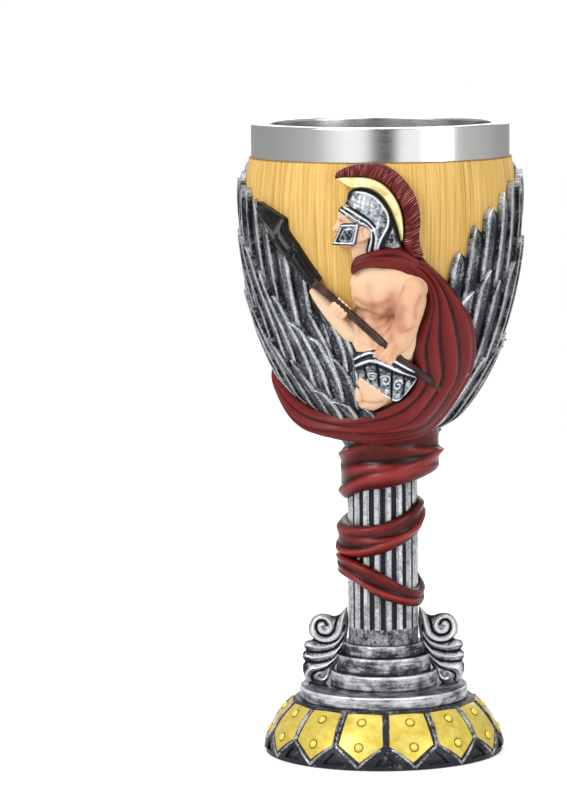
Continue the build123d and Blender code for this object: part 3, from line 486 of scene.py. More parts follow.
def blendColour(tree, fac, low, top):
    made = node(tree, "Mix", {"data_type": "RGBA"})
    for key, value in ((0, fac), (6, low), (7, top)):
        if isinstance(value, bpy.types.NodeSocket):
            tree.links.new(value, made.inputs[key])
        else:
            made.inputs[key].default_value = value if isinstance(value, (int, float)) else (*value, 1)
    return made.outputs[2]


def emboss(tree, shader, height, strength, distance):
    made = node(tree, "Bump", Height=height, Strength=strength, Distance=distance)
    tree.links.new(made.outputs[0], shader.inputs["Normal"])


# a vector from the angle round the cup, the height and the distance from its axis, for turned forms
def roundVector(tree, place, around, up):
    axes = node(tree, "SeparateXYZ", Vector=place).outputs
    angle = maths(tree, "ARCTAN2", axes[0], times(tree, axes[1], -1.0))
    reach = maths(tree, "SQRT", plus(tree, times(tree, axes[0], axes[0]), times(tree, axes[1], axes[1])))
    return node(tree, "CombineXYZ", X=times(tree, angle, around), Y=times(tree, axes[2], up),
                Z=times(tree, reach, up)).outputs[0], angle, axes[2]


def mark(tree, name):
    return node(tree, "Attribute", {"attribute_name": name}).outputs["Fac"]


# a vector for strands that run along a piece, with a scale along and across them
def strands(tree, along, across):
    return node(tree, "CombineXYZ", X=times(tree, mark(tree, "along"), along),
                Y=times(tree, mark(tree, "across"), across)).outputs[0]


def steelFinish():
    made, tree, shader, place = newFinish("brushed steel", 0.18, 1.0)
    lines, _, _ = roundVector(tree, place, 6.0, 9000.0)
    fine = grain(tree, lines, 1.0, 3.0, 0.6)
    cloud = grain(tree, place, 55.0, 3.0)
    tint = blendColour(tree, cloud, (0.60, 0.60, 0.59), (0.72, 0.72, 0.71))
    tree.links.new(blendColour(tree, times(tree, fine, 0.18), tint, (0.42, 0.42, 0.42)),
                   shader.inputs["Base Color"])
    tree.links.new(ramp(tree, fine, [(0.3, 0.14), (0.7, 0.24)]), shader.inputs["Roughness"])
    emboss(tree, shader, fine, 0.10, 0.0001)
    return made


def tanFinish():
    made, tree, shader, place = newFinish("tan wood-grain paint", 0.5, specular=0.25)
    lines, _, height = roundVector(tree, place, 42.0, 26.0)
    coarse = grain(tree, lines, 1.0, 5.0, 0.65)
    close, _, _ = roundVector(tree, place, 150.0, 34.0)
    fine = grain(tree, close, 1.0, 3.0, 0.6)
    cloud = grain(tree, place, 60.0, 3.0)
    streak = plus(tree, times(tree, coarse, 0.55), times(tree, fine, 0.45))
    base = ramp(tree, streak, [(0.34, (0.34, 0.17, 0.030)), (0.45, (0.59, 0.34, 0.080)),
                               (0.56, (0.72, 0.47, 0.145)), (0.68, (0.84, 0.65, 0.30))])
    base = blendColour(tree, times(tree, cloud, 0.35), base, (0.74, 0.47, 0.12))
    # painted shade under the steel band: a dark brown line along the seam at the top of the wall
    seam = ramp(tree, times(tree, minus(tree, height, 0.1790), 1000.0), [(0.45, 0.0), (0.75, 0.8)])
    tree.links.new(blendColour(tree, seam, base, (0.16, 0.075, 0.018)), shader.inputs["Base Color"])
    emboss(tree, shader, streak, 0.8, 0.0004)
    return made


# black paint with silver brushed over what stands proud; the level that places the silver also holds painted
# highlights and painted shade on the feathers, and painted light on the foot
def silverOnBlack(name, proud, dark=(0.010, 0.012, 0.016), silver=(0.60, 0.62, 0.64), cut=(0.42, 0.72),
                  streaks=None, grit=1.0):
    made, tree, shader, place = newFinish(name, 0.38, 0.35, specular=0.16)
    level = proud(tree, place)
    vector = strands(tree, *streaks) if streaks else place
    scratch = grain(tree, vector, 1.0 if streaks else 420.0, 5.0, 0.7)
    dots = grain(tree, place, 1400.0, 2.0, 0.6)
    cloud = grain(tree, place, 110.0, 3.0)
    for noise, share in ((scratch, 0.9), (dots, 0.6), (cloud, 0.6)):
        level = sway(tree, level, noise, share * grit)
    brushed = ramp(tree, level, [(cut[0], 0.0), (cut[1], 1.0)])
    greyed = blendColour(tree, times(tree, level, 0.6, True), dark, (0.045, 0.050, 0.060))
    tree.links.new(blendColour(tree, brushed, greyed, silver), shader.inputs["Base Color"])
    tree.links.new(ramp(tree, brushed, [(0.0, 0.0), (1.0, 0.75)]), shader.inputs["Metallic"])
    emboss(tree, shader, plus(tree, scratch, times(tree, dots, 0.5)), 0.35, 0.0002)
    return made


# red paint graded by the high mark: its dark end is painted shade in the folds, its light end painted
# highlights on ridges and locks
def redFinish(name="dark red paint", dark=(0.024, 0.003, 0.003), main=(0.130, 0.009, 0.009),
              light=(0.20, 0.020, 0.019), rough=0.33):
    made, tree, shader, place = newFinish(name, rough, 0.0, 0.0, 0.18)
    level = mark(tree, "high")
    cloud = grain(tree, place, 180.0, 4.0)
    level = sway(tree, level, cloud, 0.5)
    tree.links.new(ramp(tree, level, [(0.08, dark), (0.38, main), (0.95, light)]),
                   shader.inputs["Base Color"])
    fibre = grain(tree, strands(tree, 0.12, 1.3), 1.0, 3.0, 0.5)
    emboss(tree, shader, fibre, 0.35, 0.0004)
    return made


def skinFinish():
    made, tree, shader, place = newFinish("painted skin", 0.46, 0.0, 0.0, 0.25)
    shader.inputs["Subsurface Weight"].default_value = 0.06
    shader.inputs["Subsurface Radius"].default_value = (0.002, 0.0008, 0.0004)
    shade = mark(tree, "shade")
    cloud = grain(tree, place, 130.0, 3.0)
    level = sway(tree, shade, cloud, 0.35)
    stops = [(0.0, (0.80, 0.55, 0.36)), (0.35, (0.70, 0.40, 0.25)), (0.7, (0.42, 0.18, 0.10)),
             (1.0, (0.10, 0.03, 0.02))]
    tree.links.new(ramp(tree, level, stops), shader.inputs["Base Color"])
    emboss(tree, shader, grain(tree, place, 900.0, 3.0), 0.12, 0.0001)
    return made


# paint of three close shades, from dark to light
def plainPaint(name, colours, rough, metal, scale, coat=0.0):
    made, tree, shader, place = newFinish(name, rough, metal, coat, 0.2)
    cloud = grain(tree, place, scale, 5.0, 0.65)
    tree.links.new(ramp(tree, cloud, list(zip((0.3, 0.5, 0.72), colours))), shader.inputs["Base Color"])
    emboss(tree, shader, grain(tree, place, scale * 4, 3.0), 0.2, 0.0002)
    return made


# camera, floor and lamps, at the photograph's viewing angle
shot = {"distance": 1.242, "height": 0.2468, "target": 0.095, "lens": 186.75, "shiftX": -0.1233,
        "shiftY": 0.047, "roll": -0.37}
eye = bpy.data.cameras.new("camera")
camera = bpy.data.objects.new("camera", eye)
bpy.context.scene.collection.objects.link(camera)
camera.location = (0, -shot["distance"], shot["height"])
aim = Vector((0, 0, shot["target"])) - camera.location
camera.rotation_euler = aim.to_track_quat("-Z", "Y").to_euler()
camera.rotation_euler.rotate_axis("Z", math.radians(shot["roll"]))
eye.sensor_fit, eye.sensor_width, eye.lens = "AUTO", 36.0, shot["lens"]
eye.shift_x, eye.shift_y = shot["shiftX"], shot["shiftY"]
eye.clip_start, eye.clip_end = 0.01, 20
bpy.context.scene.camera = camera
bpy.context.scene.view_settings.view_transform = "Standard"

studio = {"world": 0.42, "key": 11.0, "fill": 5.0, "top": 5.0, "back": 3.0, "mirror": 1.25}


def addLamp(name, place, size, power, target=(0, 0, 0.11)):
    data = bpy.data.lights.new(name, "AREA")
    data.shape, data.size, data.size_y, data.energy = "RECTANGLE", size[0], size[1], power
    obj = bpy.data.objects.new(name, data)
    bpy.context.scene.collection.objects.link(obj)
    obj.location = place
    obj.rotation_euler = (Vector(target) - Vector(place)).to_track_quat("-Z", "Y").to_euler()


addLamp("key_lamp", (-0.75, -0.75, 0.75), (0.5, 0.8), studio["key"])
addLamp("fill_lamp", (0.85, -0.65, 0.45), (0.5, 0.8), studio["fill"])
addLamp("top_lamp", (0.0, 0.05, 1.0), (0.7, 0.7), studio["top"])
addLamp("back_lamp", (0.1, 0.95, 0.5), (0.9, 0.5), studio["back"])


# white to the camera, graded with a dark strip in reflections for the steel, and plain for the rest
def makeWorld():
    world = bpy.data.worlds.new("studio")
    bpy.context.scene.world = world
    world.use_nodes = True
    tree = world.node_tree
    out = tree.nodes["World Output"]
    ray = node(tree, "LightPath").outputs
    seen = maths(tree, "MAXIMUM", ray["Is Camera Ray"], ray["Is Transmission Ray"])
    axes = node(tree, "SeparateXYZ", Vector=node(tree, "TexCoord").outputs["Generated"]).outputs
    bearing = maths(tree, "ARCTAN2", axes[0], times(tree, axes[1], -1.0))
    turn = plus(tree, times(tree, bearing, 0.5 / math.pi), 0.5)
    tones = ramp(tree, turn, [(0.0, 0.30), (0.25, 0.42), (0.34, 0.50), (0.42, 1.15), (0.462, 1.1),
                              (0.485, 0.30), (0.51, 0.06), (0.53, 0.10), (0.548, 1.15), (0.585, 1.05),
                              (0.64, 0.62), (0.78, 0.50), (0.90, 0.34), (1.0, 0.30)])
    soft = node(tree, "Background", Color=tones, Strength=studio["mirror"])
    plain = node(tree, "Background", Strength=studio["world"], Color=(1, 1, 1, 1))
    white = node(tree, "Background", Strength=1.0, Color=(1, 1, 1, 1))
    mirror = node(tree, "MixShader", Fac=ray["Is Glossy Ray"], i1=plain.outputs[0], i2=soft.outputs[0])
    final = node(tree, "MixShader", Fac=seen, i1=mirror.outputs[0], i2=white.outputs[0])
    tree.links.new(final.outputs[0], out.inputs["Surface"])


makeWorld()


def makeFloor():
    mesh = bpy.data.meshes.new("floor")
    around = np.linspace(0, 2 * math.pi, 64, endpoint=False)
    edge = [(0.8 * math.cos(a), 0.8 * math.sin(a), -0.0002) for a in around]
    mesh.from_pydata(edge, [], [list(range(64))])
    floor = bpy.data.objects.new("floor", mesh)
    bpy.context.scene.collection.objects.link(floor)
    made, tree, shader, _ = newFinish("white floor", 0.9, 0.0, 0.0, 0.1)
    shader.inputs["Base Color"].default_value = (0.82, 0.82, 0.82, 1)
    ray = node(tree, "LightPath").outputs
    glow = node(tree, "Emission", Strength=0.36, Color=(1, 1, 1, 1))
    both = node(tree, "AddShader", i0=shader.outputs[0], i1=glow.outputs[0])
    pick = node(tree, "MixShader", Fac=ray["Is Camera Ray"], i1=shader.outputs[0], i2=both.outputs[0])
    tree.links.new(pick.outputs[0], tree.nodes["Material Output"].inputs["Surface"])
    floor.data.materials.append(made)


makeFloor()
print("stage done")


# the feathers' heights are shares of the wall, from its foot up to the seam under the steel band
wings = {"foot": 92, "span": 88}


def shareHeights(points):
    return [(az, wings["foot"] + wings["span"] * share) for az, share in points]


def wingPiece(name, fans):
    skins = Skins()
    for tips, roots, count, width, low, rise, bow, tilt, jitter in fans:
        layFan(skins, shareHeights(tips), shareHeights(roots), count, width, low, rise, bow, tilt, jitter)
    return skins.piece(name, "feather_black", 50)


# left wing of the front side: tiers are (tips, roots, count, half width, low, rise, bow, tilt, jitter)
leftWing = {
    "tiers": [
        ([(-104, .92), (-92, .94), (-80, .885), (-70, .90), (-63, .85), (-57, .80), (-50, .775), (-43, .725),
          (-36, .67), (-30, .60), (-26.5, .535), (-22, .475), (-15, .41), (-12.6, .34)],
         [(-98, .24), (-80, .20), (-60, .17), (-40, .17), (-26, .20), (-17, .24), (-12.8, .27)],
         12, 3.7, 0.35, 0.6, -0.05, -0.85, 0.5),
        ([(-104, .80), (-88, .745), (-78, .715), (-67.6, .67), (-55.6, .56), (-45, .475), (-36, .42),
          (-25, .335), (-17.6, .265)],
         [(-84, .27), (-64, .22), (-48, .18), (-36, .16), (-27, .155), (-20, .15), (-15, .15), (-12.8, .155)],
         10, 3.5, 0.9, 0.8, -0.08, -0.8, 0.8),
        ([(-36, .50), (-29.4, .555), (-22.5, .490), (-15, .43)],
         [(-28, .22), (-21, .20), (-16, .21), (-13, .24)],
         4, 2.8, 1.0, 0.7, -0.08, -0.8, 0.2),
        ([(-104, .60), (-90, .56), (-78.9, .50), (-63.6, .385), (-50.2, .30), (-38.2, .25), (-29, .215),
          (-14, .185)],
         [(-84, .17), (-66, .14), (-50, .12), (-38, .11), (-28, .10), (-20, .10), (-12, .11)],
         8, 3.4, 1.4, 0.9, -0.07, -0.7, 0.8),
    ],
}
wingLeft = wingPiece("wing_feathers_left", leftWing["tiers"])
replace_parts(wingLeft, "wing_left")

rightWing = {
    "tiers": [
        ([(29.5, .62), (35, .68), (41, .74), (48, .80), (56, .85), (63, .875), (70, .925), (84, .935),
          (93, .905), (103, .93)],
         [(28, .42), (34, .38), (42, .32), (52, .30), (62, .30), (76, .32), (92, .34), (106, .34)],
         9, 4.3, 0.35, 0.7, 0.04, 0.85, 0.5),
        ([(33, .49), (38.8, .555), (44.3, .60), (49.2, .652), (54, .61), (59.1, .59), (67.4, .615),
          (77.6, .70), (88, .72), (105, .69)],
         [(38, .15), (44, .13), (52, .12), (62, .12), (76, .13), (90, .14), (108, .15)],
         8, 4.4, 1.0, 0.9, 0.06, 0.85, 0.7),
        ([(44, .24), (50, .27), (57.8, .30), (63, .325), (72, .365), (84, .40), (106, .42)],
         [(30, .065), (42, .065), (54, .065), (66, .065), (84, .065), (106, .065)],
         7, 3.5, 1.5, 0.9, 0.06, 0.7, 0.6),
    ],
}
wingRight = wingPiece("wing_feathers_right", rightWing["tiers"])
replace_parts(wingRight, "wing_right")

rearRight = {
    "tiers": [
        ([(104, .975), (112, .975), (120, .975), (130, .975), (140, .975), (150, .975), (160, .975)],
         [(104, .60), (113, .60), (123, .60), (134, .60), (146, .60), (158, .64), (170, .70)],
         9, 3.6, 0.4, 0.5, 0.0, 0.7, 0.1),
        ([(95, .95), (100, .88), (107, .80), (116, .80), (123, .78), (131, .70), (137, .66), (143, .60)],
         [(108, .40), (114, .36), (122, .32), (130, .28), (140, .26), (150, .24), (160, .22), (168, .21)],
         8, 3.6, 1.0, 0.8, -0.05, 0.8, 0.6),
        ([(98, .60), (108, .60), (118, .56), (128, .50), (138, .42), (148, .34)],
         [(112, .22), (124, .20), (136, .18), (148, .16), (160, .15), (172, .15)],
         8, 3.3, 1.45, 0.8, -0.05, 0.8, 0.6),
        ([(96, .34), (108, .32), (120, .29), (132, .26), (146, .21), (160, .17)],
         [(112, .065), (126, .065), (140, .065), (154, .065), (168, .065), (178, .07)],
         8, 3.0, 1.2, 0.8, -0.04, 0.6, 0.6),
    ],
}
wingRearRight = wingPiece("wing_feathers_rear_right", rearRight["tiers"])
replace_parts(wingRearRight, "feathers_rear_right")

rearLeft = {
    "tiers": [
        ([(-104, .975), (-112, .975), (-120, .975), (-130, .975), (-139.5, .975)],
         [(-104, .60), (-113, .60), (-123, .60), (-134, .58), (-146, .56)],
         7, 3.6, 0.4, 0.5, 0.0, -0.7, 0.1),
        ([(-95, .93), (-101, .86), (-108, .80), (-117, .78), (-125, .74), (-133, .68), (-140, .60)],
         [(-108, .38), (-115, .34), (-124, .30), (-134, .27), (-144, .25), (-154, .23), (-164, .22)],
         8, 3.6, 1.0, 0.8, 0.05, -0.8, 0.6),
        ([(-98, .58), (-108, .57), (-120, .53), (-132, .46), (-144, .36), (-156, .28)],
         [(-110, .20), (-124, .17), (-138, .15), (-152, .14), (-166, .14), (-176, .15)],
         8, 3.3, 1.45, 0.8, 0.05, -0.8, 0.6),
        ([(-98, .30), (-110, .27), (-124, .25), (-140, .21), (-158, .18), (-174, .16)],
         [(-108, .065), (-124, .065), (-140, .065), (-156, .065), (-170, .065), (-182, .07)],
         8, 3.0, 1.2, 0.8, 0.04, -0.6, 0.6),
    ],
}
wingRearLeft = wingPiece("wing_feathers_rear_left", rearLeft["tiers"])
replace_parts(wingRearLeft, "feathers_rear_left")
print("wings done")


# the long cape: from the collar round behind the arm, then along under the figure to its tip at the left
capeLong = {
    "outer": [(14, 152.6), (18, 151.5), (27, 146), (37.5, 139), (46.5, 132), (52.5, 124), (54.5, 117),
              (52.5, 110.5), (50, 105), (45, 100.6), (33, 98.3), (12, 97.5), (-8, 97.3), (-28, 97.6),
              (-45, 98.7), (-60, 101.2), (-76, 106.4), (-88, 112), (-93.5, 116)],
    "inner": [(13, 149.2), (17, 146.4), (19.3, 143), (20, 138), (17.6, 131.8), (15.5, 126.5), (16.5, 121.5),
              (19, 116.6), (16.8, 112.8), (11, 110), (1, 107.4), (-13, 105.6), (-28, 105.0), (-45, 105.9),
              (-60, 107.6), (-74, 110.6), (-86, 114.4), (-93, 117.6)],
    "ridges": [(0.10, 0.05, 0.07, 0.8), (0.24, 0.16, 0.07, 1.0), (0.40, -0.12, 0.06, 0.9),
               (0.52, 0.18, 0.08, 1.1), (0.66, -0.05, 0.06, 1.0), (0.78, 0.14, 0.07, 0.9),
               (0.90, 0.02, 0.06, 0.8)],
    "depth": 0.95,
}


def capeLift(t, s):
    h, high = foldLift(1.15, capeLong["depth"], capeLong["ridges"])(t, s)
    crown = 1.1 * np.sin(math.pi * s) ** 0.8
    fade = 1 - 0.7 * smoothStep((t - 0.84) / 0.16)
    roll = 3.0 * bell(s - 0.42, 0.34) * smoothStep((t - 0.62) / 0.22) * fade
    calm = 1 - 0.45 * smoothStep((t - 0.7) / 0.3)
    return 1.2 + (h - 1.15) * calm + 1.0 + crown * (1 - 0.3 * t) + roll, high


capeEdges = (capeLong["outer"], capeLong["inner"])
laySheet("cape_long", ("cape_front", "cape_sweep"), "cape_red", capeEdges, capeLift, 260, 64, 0.10, 1.7)

# other cloth: a collar, and on the shield side a band under the shield, a flap over the shoulder and the
# cloth that gathers on the bowl's underside; folds are (base, depth, ridges, crown, slope)
clothPieces = {
    "cape_collar_cloth": {
        "node": "cape_collar", "grid": (80, 26), "rounding": 0.3,
        "edges": ([(-12.2, 150.8), (-9.6, 153.6), (-4.2, 155.4), (2.4, 156.4), (8.6, 156.2), (13.6, 154.6),
                   (18, 152), (22, 148.6)],
                  [(-12.2, 147.6), (-7.4, 149.5), (-0.6, 149.5), (6.0, 148.5), (12, 146.2), (17, 143.2),
                   (20.5, 140)]),
        "folds": (2.0, 0.6, [(0.2, 0.1, 0.12, 0.7), (0.5, -0.1, 0.12, 0.9), (0.75, 0.1, 0.12, 0.7)],
                  1.5, 0.8)},
    "cape_band_rear": {
        "node": "cape_rear_band", "grid": (220, 44), "rounding": 0.14,
        "edges": ([(93, 125.4), (95, 127.2), (99, 127.6), (108, 126.4), (121, 124.4), (136, 121.2),
                   (151, 118.6), (166, 117), (182, 115.8), (200, 116.2), (220, 117.2), (240, 117.6),
                   (259, 117)],
                  [(93, 124.6), (95, 122.8), (99, 122.0), (110, 121.6), (122, 119.4), (136, 116.4),
                   (150, 112), (166, 108.4), (182, 106.8), (200, 106.4), (220, 108.4), (240, 110.6),
                   (259, 112.8)]),
        "folds": (2.9, 0.85, [(0.14, 0.1, 0.08, 0.9), (0.34, -0.14, 0.08, 1.0), (0.52, 0.2, 0.07, 0.9),
                              (0.72, -0.1, 0.08, 1.0), (0.88, 0.06, 0.07, 0.8)], 0.5)},
    "cape_flap_rear": {
        "node": "cape_shoulder", "grid": (80, 34), "rounding": 0.16,
        "edges": ([(191.5, 171.6), (195, 173.8), (199.5, 175.2), (207, 171.4), (214.5, 166), (221.5, 157.4),
                   (224.5, 147), (220, 141.2)],
                  [(191.5, 168.5), (194, 168), (197, 166), (200.5, 162), (206, 156), (210.5, 151), (213, 146),
                   (214.5, 141.4)]),
        "folds": (1.3, 0.7, [(0.2, 0.1, 0.1, 0.8), (0.42, 0.05, 0.1, 1.0), (0.66, -0.1, 0.1, 0.9),
                             (0.86, 0.0, 0.09, 0.7)], 0.6)},
    "cape_strip_rear": {
        "node": "cape_side", "grid": (60, 20), "rounding": 0.3,
        "edges": ([(153.5, 151.2), (149.5, 148.4), (146.4, 144), (145.2, 139.6), (146.6, 135),
                   (150.4, 131.6)],
                  [(155, 150.6), (153, 147.8), (151, 144), (150.6, 139.8), (151, 136), (152.6, 132.4)])},
    "cape_swirl_rear": {
        "node": "cape_swirl", "grid": (120, 30), "rounding": 0.12,
        "edges": ([(106, 98.8), (130, 100.4), (160, 103), (182, 105), (204, 106.6), (226, 108.6),
                   (250, 110.2)],
                  [(104, 97.4), (130, 97.2), (160, 97.2), (182, 97.4), (204, 99.4), (226, 102),
                   (249, 104.4)]),
        "folds": (2.4, 0.8, [(0.2, 0.1, 0.1, 0.9), (0.45, -0.1, 0.1, 1.0), (0.7, 0.1, 0.1, 1.0)], 0.6)},
}
for name, cloth in clothPieces.items():
    lift = clothLift(*cloth["folds"]) if "folds" in cloth else stripLift
    laySheet(name, (cloth["node"],), "cape_red", cloth["edges"], lift, *cloth["grid"], cloth["rounding"])


# turns of the cape round the stem: at each azimuth the top, the bottom and the outer radius, in mm
def layTurn(name, nodeName, table, ridges, joined=False, inner=10.75, depth=0.75, rows=200, cols=44):
    places = np.array(table, float)
    around = np.linspace(-180, 180, rows, endpoint=False)
    wrapped = np.vstack([places - (360, 0, 0, 0), places, places + (360, 0, 0, 0)])
    fine = curveThrough(wrapped, 1200)
    top, bottom, out = (np.interp(around, fine[:, 0], fine[:, k])[:, None] for k in (1, 2, 3))
    s = (1 - np.cos(np.linspace(0, math.pi, cols)))[None] / 2
    t = (around / 360 + 0.5)[:, None]
    h, high = 0 * t * s, 0.35 + 0 * t * s
    for place, drift, width, size in ridges:
        centre = place + drift * np.sin(2 * math.pi * t + place * 9)
        size = size * (0.62 + 0.38 * np.sin(4 * math.pi * t + place * 17))
        d = (s - centre) / width
        ridge = np.where(d < 0, bell(d, 0.55), bell(d, 1.2)) * size
        # painted highlight on each fold ridge, painted shade in the groove beside it
        h, high = h + depth * ridge, high + 0.5 * ridge - 0.3 * size * bell(d + 1.1, 0.5)
    rim = np.minimum(np.minimum(s, 1 - s) / 0.2, 1)
    rim = np.sqrt(np.clip(1 - (1 - rim) ** 2, 0, 1))
    if joined:
        meets = smoothStep((around[:, None] + 40) / 30) * smoothStep((170 - around[:, None]) / 25) * (s < 0.5)
        rim = np.maximum(rim, meets)
    r = inner + (out - inner - depth * 0.9) * (0.25 + 0.75 * rim) + h * rim
    z = top * (1 - s) + bottom * s
    a = np.radians(around)[:, None]
    front = np.stack([r * np.sin(a), -r * np.cos(a), z], -1) * 0.001
    back = np.stack([inner * np.sin(a) + 0 * z, -inner * np.cos(a) + 0 * z, z], -1) * 0.001
    n = rows * cols
    verts = np.vstack([front.reshape(-1, 3), back.reshape(-1, 3)])
    faces = [gridFaces(rows, cols, 0, False, True), gridFaces(rows, cols, n, True, True)]
    for j, flip in ((0, False), (cols - 1, True)):
        i = np.arange(rows)
        k = (i + 1) % rows
        quad = np.stack([k * cols + j + n, k * cols + j, i * cols + j, i * cols + j + n], -1)
        faces.append(quad[:, ::-1] if flip else quad)
    spread = {"high": np.clip(high, 0, 1) * (0.4 + 0.6 * rim), "along": t * 80 + 0 * s,
              "across": s * 10 + 0 * t}
    marks = {key: np.concatenate([value.ravel()] * 2) for key, value in spread.items()}
    piece = newPiece(name, verts, np.vstack(faces).tolist(), "goblet", "cape_red", marks)
    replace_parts(piece, nodeName)


turns = {
    "upper": [(-150, 93, 78.5, 13.4), (-110, 92.5, 77, 13.2), (-75, 92.6, 77, 13.2), (-45, 94.2, 79, 14.4),
              (-20, 96.6, 80.5, 15.2), (0, 97.6, 81, 16.0), (35, 98.2, 82.5, 17.0), (70, 98.4, 84, 17.6),
              (105, 98.4, 84, 17.6), (140, 98, 82, 16.8), (180, 95.5, 80, 15)],
    "middle": [(-150, 73.5, 65.5, 12.9), (-110, 71.5, 62, 13.6), (-75, 70, 59.8, 14.2),
               (-35, 69.6, 59.8, 13.6), (0, 70.6, 61.4, 13.3), (40, 73.6, 64.6, 13.2), (75, 76.4, 67.4, 12.9),
               (110, 77, 69, 12.9), (145, 76, 68.8, 12.9), (180, 75, 67.6, 12.8)],
    "lower": [(-150, 61.4, 53.6, 12.9), (-110, 61.2, 53.8, 13.6), (-75, 60.8, 53.8, 14.4),
              (-40, 58.8, 51.8, 13.8), (0, 55.2, 47.4, 13.2), (35, 51.2, 45.2, 13.0), (70, 49.8, 44.2, 12.7),
              (105, 52.5, 45, 12.8), (140, 57, 49.4, 12.8), (180, 60.4, 52.8, 12.8)],
}
turnRidges = {
    "upper": [(0.12, 0.10, 0.09, 0.9), (0.30, 0.20, 0.07, 1.1), (0.46, 0.16, 0.10, 1.2),
              (0.66, 0.20, 0.08, 1.1), (0.84, 0.10, 0.10, 1.0)],
    "middle": [(0.18, 0.10, 0.12, 1.0), (0.42, 0.22, 0.09, 1.1), (0.62, 0.18, 0.13, 1.2),
               (0.82, 0.12, 0.09, 0.9)],
    "lower": [(0.22, 0.12, 0.14, 1.0), (0.50, 0.24, 0.12, 1.1), (0.78, 0.14, 0.14, 1.0)],
}
for key in turns:
    layTurn("cape_wound_" + key, "cape_turn_" + key, turns[key], turnRidges[key], key == "upper")
print("cape done")


# pushes points out (or in, when negative) round places given as (azimuth, height, across, up, turn, amount)
def press(co, spots):
    az = azimuthOf(co)
    r = np.hypot(co[:, 0], co[:, 1])
    move = np.zeros(len(co))
    for place, height, across, up, turn, amount in spots:
        dx = ((az - place + 180) % 360 - 180) * np.radians(1) * r
        dz = co[:, 2] - height
        c, s = math.cos(math.radians(turn)), math.sin(math.radians(turn))
        u, v = dx * c + dz * s, -dx * s + dz * c
        move += amount * np.exp(-(u / across) ** 2 - (v / up) ** 2)
    out = co.copy()
    out[:, :2] *= (1 + move / np.maximum(r, 1))[:, None]
    return out, move


# skin shade: painted shade where the skin sinks to the wall and at the given spots
def skinMarks(spots):
    def marks(co, raised):
        _, spotShade = press(co, spots)
        edge = bell(raised, 0.22)
        return {"shade": np.clip(0.10 + 0.42 * edge + spotShade, 0, 1)}
    return marks


# a patch with a closed outline of (azimuth, height) points, raised by a function of (t round the outline,
# s from the centre, azimuth, height)
def layPatch(skins, outline, centre, lift, rows=120, cols=24, backing=0.12):
    line = curveThrough(list(outline) + [outline[0]], rows + 1)[:-1]
    s = np.linspace(0.02, 1, cols)[None]
    az = centre[0] + (line[:, 0:1] - centre[0]) * s
    z = centre[1] + (line[:, 1:2] - centre[1]) * s
    t = np.linspace(0, 1, rows, endpoint=False)[:, None]
    off, high = lift(t, s, az, z)
    front, back = onWall(az, z, off), onWall(az, z, backing + 0 * off)
    verts = np.vstack([front.reshape(-1, 3), back.reshape(-1, 3), front[:, 0].mean(0)[None],
                       back[:, 0].mean(0)[None]])
    skins.verts.append(verts)
    skins.faces.append([[i + skins.count for i in face] for face in patchFaces(rows, cols)])
    skins.count += len(verts)
    level = np.broadcast_to(high, (rows, cols))
    middle = [level[:, 0].mean()] * 2
    for key, value in (("high", np.concatenate([level.ravel(), level.ravel(), middle])),
                       ("along", np.zeros(len(verts))), ("across", np.zeros(len(verts)))):
        skins.marks.setdefault(key, []).append(value)


# a piece of patches, each given as (outline, centre, lift, rows, cols); skin shows what is high as its shade
def patchPiece(name, nodeName, slot, *patches):
    skins = Skins()
    for patch in patches:
        layPatch(skins, *patch)
    if slot == "skin":
        skins.marks["shade"] = skins.marks["high"]
    piece = skins.piece(name, slot)
    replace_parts(piece, nodeName)


# a round bar through points in metres, with a radius in mm at each point
def barParts(points, radii, count=30, turns=14):
    p = curveThrough(np.asarray(points, float) * 1000, count)
    r = np.interp(np.linspace(0, 1, count), np.linspace(0, 1, len(radii)), radii)
    step = np.gradient(p, axis=0)
    step /= np.linalg.norm(step, axis=1)[:, None]
    side = np.cross(step, (0, 0, 1.0))
    side /= np.linalg.norm(side, axis=1)[:, None] + 1e-9
    other = np.cross(side, step)
    a = np.linspace(0, 2 * math.pi, turns, endpoint=False)
    circle = np.cos(a)[None, :, None] * side[:, None] + np.sin(a)[None, :, None] * other[:, None]
    rings = p[:, None] + r[:, None, None] * circle
    verts = np.vstack([rings.reshape(-1, 3), p[0] - step[0] * r[0] * 0.7, p[-1] + step[-1] * r[-1] * 0.7])
    faces = ringFaces(count, turns)
    n = count * turns
    faces += [[n, (j + 1) % turns, j] for j in range(turns)]
    faces += [[n + 1, (count - 1) * turns + j, (count - 1) * turns + (j + 1) % turns] for j in range(turns)]
    return verts * 0.001, faces


# front figure
torsoMasses = [
    lump(-3.5, 145.2, 0.1, (6.8, 5.4, 2.7)), lump(4.5, 144.8, 0.2, (7.2, 5.6, 3.2)),
    lump(-6.0, 142.2, 0.1, (4.9, 5.0, 2.9)), lump(13, 144.2, 0.3, (5.4, 4.8, 3.5)),
    lump(2.5, 141.4, 0.2, (8.0, 6.0, 3.1)), lump(-5.5, 131.5, 0.1, (5.8, 9.0, 2.7)),
    lump(2, 131, 0.1, (5.8, 8.0, 2.6)), lump(9, 130, 0.1, (5.0, 9.0, 2.2)),
    lump(-5, 124.5, 0.1, (6.2, 5.0, 2.5)), lump(6, 124.5, 0.1, (6.0, 5.0, 2.4)),
    massAlong((-29.5, 142.6, 1.6), (-21.5, 136.6, 1.9), [(0, 1.2), (0.4, 1.9), (1, 2.4)]),
    massAlong((-21.5, 136.6, 1.9), (-14.5, 130.4, 0.9), [(0, 2.4), (1, 2.6)]),
]
